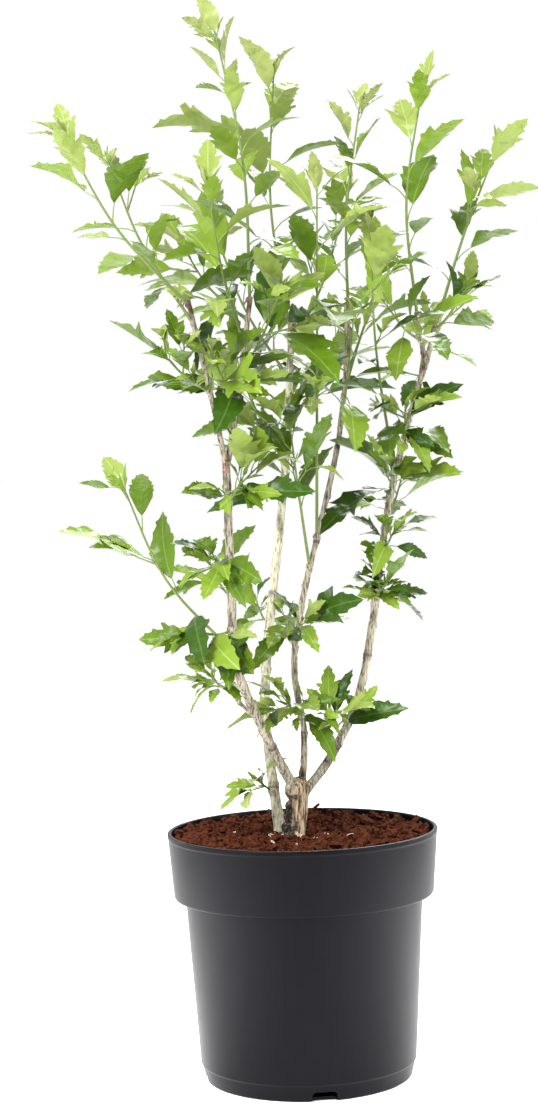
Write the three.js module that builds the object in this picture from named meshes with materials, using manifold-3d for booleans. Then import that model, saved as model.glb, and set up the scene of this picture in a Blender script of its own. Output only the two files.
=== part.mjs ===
// Potted rose of sharon: a young deciduous shrub in a round nursery pot.
// Millimetres, +Z up, +Y away from the front. The origin is the centre of the pot's underside.
// Woody limbs are tapering tubes through a few knees. Each leafy shoot is one solid: a green stem
// with leaves fused on by a seeded rule, seated just clear of the limb that carries it.
import * as THREE from "three";
import { mergeVertices } from "three/addons/utils/BufferGeometryUtils.js";
import Module from "manifold-3d";

const wasm = await Module();
wasm.setup();
const { Manifold, Mesh: SolidMesh } = wasm;

// Gap kept between neighbouring solids
const GAP = 0.3;

// Pot: a tapered tub with a wide band at the rim and drain notches round its foot
const POT = {
  height: 211,
  rimRadius: 115,
  bandFootRadius: 110.5,
  bandFoot: 160,
  shoulder: 4.5,
  bodyRadius: 101,
  creaseRadius: 91.6,
  crease: 13,
  footRadius: 89.3,
  footRound: 2.6,
  wall: 2,
  floor: 2.5,
  lip: 1.4,
  sides: 28,
};
const NOTCH = { count: 4, width: 21, height: 8.4, depth: 12, firstTurn: -82 };

// Bark mulch in the pot: level round the stems, a little higher near the wall
const SOIL = { level: 203, edgeRise: 3, hollow: 46 };

// Stump that the boughs spring from, with its root flare
const TRUNK = {
  knees: [[-7, -3, 196], [-3, -2, 224], [-1, 0, 255]],
  radius: [7.2, 9],
  flare: 5.6,
  flareHeight: 9,
  sides: 12,
  steps: 10,
};

// Woody limbs: the knees that each bends through, and its radius at foot and tip
const LIMBS = [
  {
    name: "bough_left",
    knees: [[-3, -1, 240], [-29, -25, 296], [-51, -44, 356], [-53, -50, 411], [-54, -55, 529]],
    radius: [4.4, 3.4],
  },
  {
    name: "bough_right",
    knees: [[0, 1, 238], [30, 10, 277], [57, 20, 340], [84, 25, 492], [117, 9, 608]],
    radius: [4.2, 2.6],
  },
  {
    name: "bough_centre",
    knees: [[0, 2, 238], [4, 7, 290], [-1, 5, 372], [40, 0, 540], [53, 5, 660]],
    radius: [3.1, 2.2],
  },
  {
    name: "stem_back",
    knees: [[-17, 12, 194], [-26, 28, 266], [-28, 45, 340], [-7, 60, 507], [4, 60, 650]],
    radius: [5, 2.8],
    flare: 2.2,
  },
  {
    name: "prong_left_outer",
    knees: [[-54, -54, 520], [-63, -68, 573], [-80, -90, 658]],
    radius: [2.7, 2],
  },
  {
    name: "prong_left_inner",
    knees: [[-54, -55, 519], [-46, -49, 558], [-30, -40, 661]],
    radius: [2.9, 2.2],
  },
  {
    name: "prong_right_inner",
    knees: [[116, 10, 600], [112, 0, 624], [108, -13, 646]],
    radius: [2.4, 1.9],
  },
  {
    name: "prong_right_outer",
    knees: [[115, 11, 598], [125, 20, 632], [133, 29, 654]],
    radius: [2.5, 2],
  },
  {
    name: "twig_left_low",
    knees: [[-37, -31, 311], [-48, -55, 325], [-58, -75, 341]],
    radius: [2.1, 1.5],
  },
];
const LIMB = { sides: 8, stepLength: 34, flareHeight: 14 };

// Leafy shoots. Each row: name, limb, share of the limb's length that it starts from, tip of its stem,
// how far its middle bows off the straight line, share of stem below its first leaf, leaf nodes,
// chance of a side twig at a node, largest blade, and compass turn of its first leaf (0 is +X, 90 is +Y)
const SHOOTS = [
  ["shoot_far_left", "prong_left_outer", 0.95, [-175, -108, 790], [-8, 0, -6], 0.15, 8, 0, 46, 300],
  ["shoot_left_inner", "prong_left_outer", 0.84, [-143, -56, 774], [-8, 4, 0], 0.05, 8, 0.2, 46, 340],
  ["shoot_left_mid", "prong_left_inner", 0.72, [-61, -104, 744], [-3, -6, -4], 0.1, 9, 0.2, 56, 54],
  ["shoot_tall", "prong_left_inner", 0.97, [-53, -22, 881], [9, -10, 0], 0.1, 14, 0.1, 46, 270],
  ["shoot_tall_right", "stem_back", 0.96, [-6, 57, 858], [-10, -4, 0], 0.15, 12, 0.05, 54, 280],
  ["shoot_centre", "bough_centre", 0.52, [27, -68, 746], [0, -12, 0], 0.35, 9, 0.3, 56, 240],
  ["shoot_centre_right", "bough_centre", 0.96, [66, 14, 822], [-6, 2, 0], 0.12, 11, 0.15, 46, 145],
  ["shoot_right_thin", "bough_right", 0.74, [69, -74, 714], [-6, -14, 0], 0.4, 6, 0.2, 44, 250],
  ["shoot_right_tall", "prong_right_inner", 0.92, [117, -25, 830], [-11, -2, 0], 0.12, 8, 0.1, 50, 150],
  ["shoot_far_right", "prong_right_outer", 0.92, [184, 31, 788], [-4, 2, -4], 0.1, 8, 0.1, 44, 180],
  ["shoot_back_left", "stem_back", 0.88, [-66, 118, 742], [-6, 8, -6], 0.1, 8, 0.1, 56, 310],
  ["shoot_back_right", "stem_back", 0.93, [58, 126, 764], [4, 8, -6], 0.1, 8, 0.1, 54, 280],
  ["shoot_low_left", "bough_left", 0.47, [-138, -78, 508], [-10, -4, -8], 0.15, 5, 0, 56, 270],
  ["spray_left_outer", "prong_left_outer", 0.45, [-100, -92, 612], [0, 0, -4], 0.1, 7, 0.25, 40, 270],
  ["spray_left_front", "prong_left_inner", 0.4, [-62, -98, 612], [0, 0, -4], 0.1, 8, 0.4, 56, 140],
  ["spray_left_inner", "prong_left_inner", 0.55, [-4, -86, 664], [0, 0, -6], 0.15, 9, 0.2, 56, 260],
  ["spray_crown_left", "prong_left_inner", 0.86, [-86, 6, 706], [-4, 6, -4], 0.15, 8, 0.3, 56, 160],
  ["spray_back_left", "stem_back", 0.72, [-48, 104, 612], [0, 0, -4], 0.1, 6, 0.1, 56, 340],
  ["spray_back_right", "stem_back", 0.78, [46, 106, 640], [0, 0, -4], 0.1, 6, 0.1, 56, 210],
  ["spray_centre_front", "bough_centre", 0.74, [54, -72, 640], [0, 0, -6], 0.15, 8, 0.2, 54, 140],
  ["spray_centre_low", "bough_centre", 0.46, [-2, -46, 566], [0, -4, -4], 0.35, 8, 0.3, 54, 70],
  ["spray_centre_back", "bough_centre", 0.84, [84, 66, 696], [0, 0, -6], 0.15, 7, 0.1, 52, 90],
  ["spray_right_inner", "prong_right_inner", 0.45, [82, -42, 650], [0, 0, -4], 0.1, 7, 0.2, 46, 300],
  ["spray_right_outer", "prong_right_outer", 0.55, [152, 6, 668], [0, 0, -4], 0.1, 6, 0.2, 38, 270],
  ["spray_right_crown", "bough_right", 0.93, [122, 78, 650], [0, 0, -4], 0.1, 6, 0.2, 42, 100],
  ["spray_right_upper", "bough_right", 0.83, [96, -22, 564], [0, 0, -3], 0.1, 8, 0.35, 48, 190],
  ["spray_right_mid", "bough_right", 0.7, [84, -6, 516], [0, 0, -2], 0.1, 7, 0.2, 52, 220],
  ["spray_right_lower", "bough_right", 0.57, [84, 6, 460], [0, 0, -2], 0.1, 7, 0.15, 38, 210],
  ["spray_right_low", "bough_right", 0.46, [76, 4, 416], [0, 0, -2], 0.1, 7, 0.2, 38, 50],
  ["spray_right_back", "bough_right", 0.64, [96, 72, 506], [0, 0, -4], 0.1, 6, 0.1, 48, 170],
  ["spray_left_upper", "bough_left", 0.88, [-40, -74, 512], [0, 0, -2], 0.1, 7, 0.3, 48, 210],
  ["spray_left_mid", "bough_left", 0.72, [-66, -68, 446], [0, 0, -2], 0.1, 7, 0.2, 40, 260],
  ["spray_left_lower", "bough_left", 0.53, [-74, -80, 386], [0, 0, -2], 0.1, 7, 0.3, 50, 100],
  ["spray_left_back", "bough_left", 0.62, [-72, 0, 440], [0, 0, -4], 0.1, 6, 0.1, 42, 260],
  ["spray_left_twig", "twig_left_low", 0.95, [-70, -84, 350], [0, 0, -2], 0.05, 6, 0.3, 36, 10],
  ["spray_centre_base", "bough_centre", 0.17, [-8, -14, 318], [0, 0, -2], 0.1, 7, 0.3, 45, 110],
  ["spray_basal", "stem_back", 0.1, [-35, 9, 250], [0, 0, 0], 0.5, 2, 0, 52, 215],
  ["spray_centre_stem", "bough_centre", 0.33, [4, -16, 388], [0, 0, -2], 0.1, 6, 0.1, 45, 90],
  ["spray_right_base", "bough_right", 0.16, [25, -22, 312], [0, 0, -4], 0.42, 8, 0.3, 48, 350],
  ["spray_back_low", "stem_back", 0.42, [-34, 80, 398], [0, 0, -4], 0.1, 5, 0.1, 46, 350],
];
const SHOOT = { footRadius: 2.6, tipRadius: 1.4, sides: 3, stepLength: 56, leafTurn: 137.5 };

// Side twig: length as a share of the shoot's blade, the two leaves it bears, and how far up the
// shoot twigs still grow
const TWIG = {
  length: [0.55, 0.9],
  spread: 46,
  radius: [1.4, 1.1],
  sides: 3,
  leaves: [0.5, 1],
  blade: 0.78,
  last: 0.72,
};

// Leaf blade, a rhomb: half its outline as shares of the blade's length (along, across)
const LEAF = {
  neck: [0.02, 0.024],
  widest: [0.58, 0.31],
  middle: 0.5,
  thickness: 1.3,
  stalkRadius: 0.45,
};
// Leaf growth, as shares of the blade and as degrees, from the oldest leaf of a shoot to the youngest
const GROWTH = {
  stalk: [0.2, 0.45],
  spread: [50, 18],
  spreadVary: 30,
  rollVary: 74,
  sag: 0.06,
  pitch: [-10, 30],
  bend: [0.14, 0.5],
  fold: [0.12, 0.4],
  shrink: 0.42,
  sizeVary: 0.36,
  // Swings tried, in degrees, until a leaf is clear of its neighbours
  swings: [0, 32, -32, 64, -64, 100],
  // Least distance between a leaf's sample points and those of other shoots
  clear: 6.5,
  // Samples nearest a leaf's root, which may lie close to its own shoot
  rootSamples: 4,
};

const UP = new THREE.Vector3(0, 0, 1);
const RAD = Math.PI / 180;

// A repeatable number from 0 to 1 for shoot a, leaf b and purpose c
function chance(a, b, c) {
  const wave = Math.sin(a * 12.9898 + b * 78.233 + c * 37.719) * 43758.5453;
  return wave - Math.floor(wave);
}

function curveThrough(knees) {
  const points = knees.map((knee) => new THREE.Vector3(...knee));
  return new THREE.CatmullRomCurve3(points, false, "catmullrom", 0.5);
}

// A closed solid from a three.js geometry, with shared vertices merged and slivers at poles dropped
function solidFrom(geometry) {
  const bare = new THREE.BufferGeometry();
  bare.setAttribute("position", geometry.getAttribute("position"));
  bare.setIndex(geometry.getIndex());
  const merged = mergeVertices(bare, 1e-4);
  const index = merged.getIndex().array;
  const kept = [];
  for (let i = 0; i < index.length; i += 3) {
    const [a, b, c] = index.slice(i, i + 3);
    if (a !== b && b !== c && c !== a) kept.push(a, b, c);
  }
  const mesh = new SolidMesh({
    numProp: 3,
    vertProperties: new Float32Array(merged.getAttribute("position").array),
    triVerts: new Uint32Array(kept),
  });
  return new Manifold(mesh);
}

// The largest body of a solid, so that a loose scrap left by a cut is dropped
function largestBody(solid) {
  return solid.decompose().reduce((best, body) => (body.volume() > best.volume() ? body : best));
}

function meshFrom(solid, name, material) {
  const { vertProperties, triVerts, numProp } = solid.getMesh();
  const geometry = new THREE.BufferGeometry();
  const positions = new Float32Array((vertProperties.length / numProp) * 3);
  for (let i = 0; i < positions.length / 3; i += 1) {
    positions.set(vertProperties.subarray(i * numProp, i * numProp + 3), i * 3);
  }
  geometry.setAttribute("position", new THREE.BufferAttribute(positions, 3));
  geometry.setIndex(new THREE.BufferAttribute(new Uint32Array(triVerts), 1));
  geometry.computeVertexNormals();
  const mesh = new THREE.Mesh(geometry, material);
  mesh.name = name;
  return mesh;
}

// A round shape about the Z axis from (radius, height) pairs
function turned(profile, sides) {
  const geometry = new THREE.LatheGeometry(profile.map(([r, z]) => new THREE.Vector2(r, z)), sides);
  return solidFrom(geometry.rotateX(Math.PI / 2));
}

// A tube along a curve whose radius is given for each share of its length, with flat ends
function taperedTube(curve, radiusAt, sides, steps) {
  const frames = curve.computeFrenetFrames(steps, false);
  const positions = [];
  const index = [];
  for (let i = 0; i <= steps; i += 1) {
    const centre = curve.getPointAt(i / steps);
    for (let j = 0; j < sides; j += 1) {
      const angle = (2 * Math.PI * j) / sides;
      const point = centre.clone();
      point.addScaledVector(frames.normals[i], radiusAt(i / steps) * Math.cos(angle));
      point.addScaledVector(frames.binormals[i], radiusAt(i / steps) * Math.sin(angle));
      positions.push(point.x, point.y, point.z);
    }
  }
  for (let i = 0; i < steps; i += 1) {
    for (let j = 0; j < sides; j += 1) {
      const a = i * sides + j;
      const b = i * sides + ((j + 1) % sides);
      index.push(a, b, b + sides, a, b + sides, a + sides);
    }
  }
  const last = steps * sides;
  for (let j = 1; j < sides - 1; j += 1) {
    index.push(0, j + 1, j, last, last + j, last + j + 1);
  }
  const geometry = new THREE.BufferGeometry();
  geometry.setAttribute("position", new THREE.Float32BufferAttribute(positions, 3));
  geometry.setIndex(index);
  return solidFrom(geometry);
}

function potSolid() {
  const p = POT;
  const inner = p.wall;
  const profile = [
    [0, 0],
    [p.footRadius - p.footRound, 0],
    [p.footRadius, p.footRound],
    [p.creaseRadius, p.crease],
    [p.bodyRadius, p.bandFoot - p.shoulder],
    [(p.bodyRadius + p.bandFootRadius) / 2, p.bandFoot - p.shoulder + 0.4],
    [p.bandFootRadius - 0.9, p.bandFoot - p.shoulder / 2],
    [p.bandFootRadius, p.bandFoot],
    [p.rimRadius, p.height - p.lip],
    [p.rimRadius - p.lip / 2, p.height],
    [p.rimRadius - p.lip - inner / 2, p.height],
    [p.rimRadius - p.lip / 2 - inner, p.height - p.lip],
    [p.bandFootRadius - inner, p.bandFoot],
    [p.bodyRadius - inner, p.bandFoot - p.shoulder - inner],
    [p.creaseRadius - inner, p.crease],
    [p.footRadius - inner, p.floor],
    [0, p.floor],
  ];
  return Array.from({ length: NOTCH.count }).reduce((pot, _, i) => {
    const box = new THREE.BoxGeometry(NOTCH.depth, NOTCH.width, NOTCH.height * 2);
    box.translate(p.footRadius, 0, 0);
    box.rotateZ((NOTCH.firstTurn + (i * 360) / NOTCH.count) * RAD);
    return pot.subtract(solidFrom(box));
  }, turned(profile, p.sides));
}

function soilSolid() {
  const p = POT;
  const inset = p.wall + GAP;
  const profile = [
    [0, p.floor + GAP],
    [p.footRadius - inset - GAP, p.floor + GAP],
    [p.creaseRadius - inset, p.crease],
    [p.bodyRadius - inset, p.bandFoot - p.shoulder - inset],
    [p.bandFootRadius - inset, p.bandFoot],
    [p.rimRadius - inset - p.lip, SOIL.level + SOIL.edgeRise / 2],
    [p.rimRadius - inset - p.lip - 12, SOIL.level + SOIL.edgeRise],
    [SOIL.hollow, SOIL.level],
    [0, SOIL.level],
  ];
  return turned(profile, p.sides);
}

// A woody limb as it stands, and the same grown by the gap, for cutting its neighbours clear
function limbSolids(limb, sides, steps) {
  const curve = curveThrough(limb.knees);
  const [foot, tip] = limb.radius;
  const length = curve.getLength();
  const flareShare = (limb.flareHeight ?? LIMB.flareHeight) / length;
  const flareAt = (share) => (limb.flare ?? 0) * Math.exp(-((share / flareShare) ** 2));
  const radiusAt = (share) => foot + (tip - foot) * share + flareAt(share);
  const grownAt = (share) => radiusAt(share) + GAP / Math.cos(Math.PI / sides);
  const count = steps ?? Math.max(3, Math.round(length / LIMB.stepLength));
  const tube = taperedTube(curve, radiusAt, sides, count);
  const grown = taperedTube(curve, grownAt, sides, count);
  return { name: limb.name, curve, radiusAt, solid: tube.trimByPlane([0, 0, 1], SOIL.level + GAP), grown };
}

// The trunk first, then each limb cut clear of those made before it
function woodyLimbs() {
  const made = [limbSolids({ name: "trunk", ...TRUNK }, TRUNK.sides, TRUNK.steps)];
  for (const limb of LIMBS) {
    const next = limbSolids(limb, LIMB.sides);
    for (const earlier of made) next.solid = next.solid.subtract(earlier.grown);
    next.solid = largestBody(next.solid);
    made.push(next);
  }
  return made;
}

// A point on a blade: shares of its length along the midrib and across it, and mm off its face
function bladePoint(leaf, along, across, off = 0) {
  const rise = leaf.fold * Math.abs(across) - leaf.bend * along * along;
  return leaf.base
    .clone()
    .addScaledVector(leaf.forward, along * leaf.length)
    .addScaledVector(leaf.side, across * leaf.length)
    .addScaledVector(leaf.face, rise * leaf.length + off);
}

// Where node k of a shoot springs from its stem
function stemNode(shoot, k) {
  const share = (k + 0.55) / shoot.nodes;
  const along = shoot.bare + (1 - shoot.bare) * share;
  return {
    key: k,
    share,
    foot: shoot.curve.getPointAt(along),
    axis: shoot.curve.getTangentAt(along),
    azimuth: shoot.phase + k * SHOOT.leafTurn,
    blade: shoot.blade,
  };
}

// A direction that leans off an axis by some degrees, towards a compass turn
function leaning(axis, azimuth, spread) {
  const outward = new THREE.Vector3(Math.cos(azimuth * RAD), Math.sin(azimuth * RAD), 0);
  outward.addScaledVector(axis, -outward.dot(axis)).normalize();
  return outward.multiplyScalar(Math.sin(spread * RAD)).addScaledVector(axis, Math.cos(spread * RAD));
}

function between([low, high], share) {
  return low + (high - low) * share;
}

// The leaf of a node, swung round its stem by some degrees from its own place. The blade hangs
// from the end of its stalk by its pitch
function growLeaf(node, number, swing) {
  const draw = (purpose) => chance(number, node.key, purpose);
  const { share, foot, axis } = node;
  const spread = between(GROWTH.spread, share ** 1.5) + (draw(1) - 0.5) * GROWTH.spreadVary;
  const aim = leaning(axis, node.azimuth + swing, spread);
  aim.addScaledVector(UP, -GROWTH.sag * (1 - share)).normalize();
  const back = axis.clone().add(UP);
  back.addScaledVector(aim, -back.dot(aim)).normalize();
  back.applyAxisAngle(aim, (draw(2) - 0.5) * GROWTH.rollVary * RAD);
  const vary = 1 + GROWTH.sizeVary * (draw(3) - 0.5);
  const length = node.blade * (1 - GROWTH.shrink * share ** 3) * vary;
  const stalk = length * between(GROWTH.stalk, draw(4));
  const pitch = between(GROWTH.pitch, draw(7) * (1 - 0.6 * share)) * RAD;
  return {
    foot,
    back,
    side: new THREE.Vector3().crossVectors(back, aim),
    base: foot.clone().addScaledVector(aim, stalk),
    forward: aim.clone().multiplyScalar(Math.cos(pitch)).addScaledVector(back, -Math.sin(pitch)),
    face: back.clone().multiplyScalar(Math.cos(pitch)).addScaledVector(aim, Math.sin(pitch)),
    length,
    bend: between(GROWTH.bend, draw(5)),
    fold: between(GROWTH.fold, draw(6)),
  };
}

// The side twig of a node, with the nodes of its own leaves
function growTwig(node, number) {
  const draw = (purpose) => chance(number, node.key, purpose);
  const forward = leaning(node.axis, node.azimuth + 24, TWIG.spread);
  const end = node.foot.clone().addScaledVector(forward, node.blade * between(TWIG.length, draw(8)));
  const nodes = TWIG.leaves.map((along, j) => ({
    key: 100 + node.key * TWIG.leaves.length + j,
    share: along,
    foot: node.foot.clone().lerp(end, along * 0.96),
    axis: forward,
    azimuth: node.azimuth + 150 * (j + 1),
    blade: node.blade * TWIG.blade,
  }));
  const curve = new THREE.LineCurve3(node.foot, end);
  return { curve, radiusAt: (share) => between(TWIG.radius, share), nodes };
}

// Points spread over a leaf and its stalk, for keeping shoots apart
function leafSamples(leaf) {
  const samples = [leaf.base.clone().lerp(leaf.foot, 0.4)];
  for (const along of [0.1, 0.3, 0.5, 0.7, 0.95]) {
    const half = 0.32 * Math.sin(Math.PI * along ** 1.25);
    for (const across of [-half, 0, half]) samples.push(bladePoint(leaf, along, across));
  }
  return samples;
}

// One leaf with its stalk as a closed solid: a lens-shaped rhombic blade on a three-cornered stalk
function leafSolid(leaf) {
  const half = [LEAF.neck, LEAF.widest];
  const rim = [
    ...half.map(([along, across]) => bladePoint(leaf, along, across)),
    bladePoint(leaf, 1, 0),
    ...half.map(([along, across]) => bladePoint(leaf, along, -across)).reverse(),
  ];
  const corner = (across, off) =>
    leaf.foot
      .clone()
      .addScaledVector(leaf.side, across * LEAF.stalkRadius)
      .addScaledVector(leaf.back, off * LEAF.stalkRadius);
  const root = [corner(0, -1), corner(1, 0.6), corner(-1, 0.6)];
  const top = bladePoint(leaf, LEAF.middle, 0, LEAF.thickness / 2);
  const under = bladePoint(leaf, LEAF.middle, 0, -LEAF.thickness / 2);
  const throat = bladePoint(leaf, LEAF.neck[0], 0, -2 * LEAF.stalkRadius);
  const points = [...rim, ...root, top, under, throat];
  const n = rim.length;
  const [keel, right, left, above, below, neck] = [n, n + 1, n + 2, n + 3, n + 4, n + 5];
  const index = [];
  for (let i = 0; i < n - 1; i += 1) index.push(above, i + 1, i, below, i, i + 1);
  index.push(above, 0, n - 1, below, n - 1, neck, below, neck, 0);
  index.push(left, n - 1, 0, left, 0, right);
  index.push(right, 0, neck, right, neck, keel);
  index.push(left, neck, n - 1, left, keel, neck);
  index.push(keel, left, right);
  const geometry = new THREE.BufferGeometry();
  geometry.setAttribute("position", new THREE.BufferAttribute(new Float32Array(points.length * 3), 3));
  points.forEach((p, i) => geometry.getAttribute("position").setXYZ(i, p.x, p.y, p.z));
  geometry.setIndex(index);
  return solidFrom(geometry);
}

// The green stem of a shoot, from the axis of its limb, cut clear of every limb
function shootStem([name, limbName, at, tipPoint, bow, bare, nodes, twiggy, blade, phase], limbs) {
  const limb = limbs.find((each) => each.name === limbName);
  const foot = limb.curve.getPointAt(at);
  const tip = new THREE.Vector3(...tipPoint);
  const middle = foot.clone().lerp(tip, 0.5).add(new THREE.Vector3(...bow));
  const curve = new THREE.CatmullRomCurve3([foot, middle, tip], false, "catmullrom", 0.5);
  const radiusAt = (share) => between([SHOOT.footRadius, SHOOT.tipRadius], share);
  const steps = Math.max(2, Math.round(curve.getLength() / SHOOT.stepLength));
  const tube = taperedTube(curve, radiusAt, SHOOT.sides, steps);
  const solid = limbs.reduce((stem, { grown }) => stem.subtract(grown), tube);
  return { name, curve, radiusAt, bare, nodes, twiggy, blade, phase, solid: largestBody(solid) };
}

// Points along a stem or limb, each with the radius to keep clear of
function stemSamples({ curve, radiusAt }, spacing) {
  const count = Math.ceil(curve.getLength() / spacing);
  return Array.from({ length: count + 1 }, (_, i) => ({
    point: curve.getPointAt(i / count),
    radius: radiusAt(i / count),
  }));
}

// Whether the boxes round two solids come closer than the gap
function boxesMeet(a, b) {
  const first = a.boundingBox();
  const second = b.boundingBox();
  return [0, 1, 2].every(
    (i) => first.min[i] - GAP < second.max[i] && second.min[i] - GAP < first.max[i],
  );
}

// Room in the crown: what each new twig or leaf of a shoot has to stay clear of
function crownRoom(fixed, limbs, stems) {
  const wood = limbs.flatMap((limb) => stemSamples(limb, 5));
  const green = stems.map((stem) => stemSamples(stem, 5));
  const taken = stems.map(() => []);
  const solids = stems.map(({ solid }) => [solid]);
  const near = (point, others, reach) =>
    others.some((other) => other.point.distanceToSquared(point) < (reach + other.radius) ** 2);
  // The first sample of a piece may be near wood, and those by its root may be near its own shoot
  const crowded = (point, i, number) =>
    (i > 0 && near(point, wood, GROWTH.clear / 2)) ||
    green.some((stem, j) => j !== number && near(point, stem, GROWTH.clear / 2)) ||
    taken.some((others, j) => j !== number && near(point, others, GROWTH.clear)) ||
    (i >= GROWTH.rootSamples && near(point, taken[number], GROWTH.clear / 2));
  const touches = (solid, number) => {
    const others = solids.flatMap((list, j) => (j === number ? [] : list));
    return [...fixed, ...others].some(
      (other) => boxesMeet(solid, other) && solid.minGap(other, 2 * GAP) < GAP,
    );
  };
  // Adds a piece to a shoot if it has room there
  const add = (number, samples, makeSolid) => {
    if (samples.some((point, i) => crowded(point, i, number))) return false;
    const solid = makeSolid();
    if (touches(solid, number)) return false;
    samples.forEach((point) => taken[number].push({ point, radius: 0 }));
    solids[number].push(solid);
    return true;
  };
  return { add, solids };
}

// Every shoot as one solid. A leaf or twig that would touch a limb or another shoot is swung round
// its stem until it is clear, or skipped
function leafyShoots(fixed, limbs) {
  const stems = SHOOTS.map((row) => shootStem(row, limbs));
  const room = crownRoom(fixed, limbs, stems);
  const addLeaf = (node, number) =>
    GROWTH.swings.some((swing) => {
      const leaf = growLeaf(node, number, swing);
      return room.add(number, leafSamples(leaf), () => leafSolid(leaf));
    });
  stems.forEach((stem, number) => {
    for (let k = 0; k < stem.nodes; k += 1) {
      const node = stemNode(stem, k);
      addLeaf(node, number);
      if (node.share > TWIG.last || chance(number, k, 9) > stem.twiggy) continue;
      const twig = growTwig(node, number);
      const samples = stemSamples(twig, 8).slice(1).map(({ point }) => point);
      const makeSolid = () => taperedTube(twig.curve, twig.radiusAt, TWIG.sides, 1);
      if (room.add(number, samples, makeSolid)) twig.nodes.forEach((each) => addLeaf(each, number));
    }
  });
  return stems.map(({ name }, i) => ({ name, solid: largestBody(Manifold.union(room.solids[i])) }));
}

const MATERIALS = {
  plastic: new THREE.MeshStandardMaterial({ color: 0x37373b, roughness: 0.55, metalness: 0 }),
  mulch: new THREE.MeshStandardMaterial({ color: 0x6b2f1b, roughness: 1, metalness: 0 }),
  bark: new THREE.MeshStandardMaterial({ color: 0xa39280, roughness: 0.9, metalness: 0 }),
  leaf: new THREE.MeshStandardMaterial({ color: 0x6da431, roughness: 0.6, metalness: 0 }),
};

function pottedShrub() {
  const pot = potSolid();
  const soil = soilSolid();
  const limbs = woodyLimbs();
  const shoots = leafyShoots([pot, soil, ...limbs.map(({ solid }) => solid)], limbs);
  const shrub = new THREE.Group();
  shrub.name = "potted_rose_of_sharon";
  shrub.add(meshFrom(pot, "pot", MATERIALS.plastic));
  shrub.add(meshFrom(soil, "soil", MATERIALS.mulch));
  for (const { name, solid } of limbs) shrub.add(meshFrom(solid, name, MATERIALS.bark));
  for (const { name, solid } of shoots) shrub.add(meshFrom(solid, name, MATERIALS.leaf));
  return shrub;
}

export default pottedShrub();
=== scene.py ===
"""Looks of a potted rose of sharon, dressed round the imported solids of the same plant.

Sizes are written in millimetres and become metres where a mesh is made. +Z is up, +Y runs from the front
of the plant to its back, and the origin is the centre of the pot's underside. Wood is made from tapering
lines, and leaves grow on the shoots by the same seeded rule as the solids, carried on to finer twigs.
"""

import logging
import math
from collections.abc import Iterable, Mapping, Sequence
from dataclasses import dataclass, field, replace
from enum import Enum, IntEnum

import bpy
import numpy as np
from mathutils import Matrix, Vector, noise


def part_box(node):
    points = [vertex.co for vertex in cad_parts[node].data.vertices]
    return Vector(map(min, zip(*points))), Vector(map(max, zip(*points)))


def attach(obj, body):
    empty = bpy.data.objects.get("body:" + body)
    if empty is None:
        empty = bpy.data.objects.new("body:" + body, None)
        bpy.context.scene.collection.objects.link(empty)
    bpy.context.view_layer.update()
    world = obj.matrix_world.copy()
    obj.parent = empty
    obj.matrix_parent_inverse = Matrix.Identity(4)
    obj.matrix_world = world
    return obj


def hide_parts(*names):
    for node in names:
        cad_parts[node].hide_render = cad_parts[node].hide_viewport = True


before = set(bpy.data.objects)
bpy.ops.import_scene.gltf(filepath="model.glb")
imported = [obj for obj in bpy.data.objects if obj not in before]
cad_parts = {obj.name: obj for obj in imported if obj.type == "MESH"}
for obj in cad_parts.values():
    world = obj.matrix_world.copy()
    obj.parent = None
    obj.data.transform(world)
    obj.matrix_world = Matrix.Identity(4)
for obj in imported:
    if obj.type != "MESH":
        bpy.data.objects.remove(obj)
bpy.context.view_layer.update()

LOG = logging.getLogger("potted_shrub")
MM = 0.001
BODY = "root"
# Attribute of the dark bark marks: real stains, and painted shade in the crease and round the fork
STAIN_AND_SHADE = "stain_and_shade"
UP = np.array([0.0, 0.0, 1.0])

Pair = tuple[float, float]
Point = tuple[float, float, float]
Socket = bpy.types.NodeSocket


def linear(colour: str) -> tuple[float, float, float, float]:
    """Turns an sRGB hex colour into linear light.

    Args:
        colour: Colour as #rrggbb.

    Returns:
        Linear red, green, blue and an alpha of 1.
    """
    shares = [int(colour[i : i + 2], 16) / 255 for i in (1, 3, 5)]
    red, green, blue = (s / 12.92 if s <= 0.04045 else ((s + 0.055) / 1.055) ** 2.4 for s in shares)
    return red, green, blue, 1.0


class Draw(IntEnum):
    """What a drawn number is for. The first nine are drawn for the solids as well."""

    LEAN = 1
    ROLL = 2
    SIZE = 3
    STALK = 4
    BEND = 5
    FOLD = 6
    PITCH = 7
    TWIG_LENGTH = 8
    TWIG = 9
    YOUTH = 10
    FORM = 11
    WAVE = 12
    RIPPLE = 13
    TWIST = 14
    SICKLE = 15
    BREADTH = 16
    GROWTH = 20
    SPUR = 30
    SPUR_LEAN = 31
    SPUR_LENGTH = 32
    SPUR_BLADE = 33
    TUFT_SIZE = 41
    TUFT_TURN = 42
    SCAR_PLACE = 60
    SCAR_TURN = 61


def chance(shoot: int, leaf: int, purpose: Draw) -> float:
    """Gives a repeatable number, the same as the solids draw.

    Args:
        shoot: Number of the shoot, or of another thing that draws.
        leaf: Key of the leaf or twig on it.
        purpose: What the number is for.

    Returns:
        A number from 0 to 1.
    """
    wave = math.sin(shoot * 12.9898 + leaf * 78.233 + purpose * 37.719) * 43758.5453
    return wave - math.floor(wave)


def between(ends: Pair, share: np.ndarray | float) -> np.ndarray | float:
    """Gives the value at a share of the way between two ends."""
    return ends[0] + (ends[1] - ends[0]) * share


def unit(vector: np.ndarray) -> np.ndarray:
    """Gives a vector its direction with length 1."""
    return vector / np.linalg.norm(vector)


def square_to(vector: np.ndarray, axis: np.ndarray) -> np.ndarray:
    """Gives the direction of a vector after its part along a unit axis is taken out."""
    return unit(vector - axis * np.dot(vector, axis))


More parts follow.
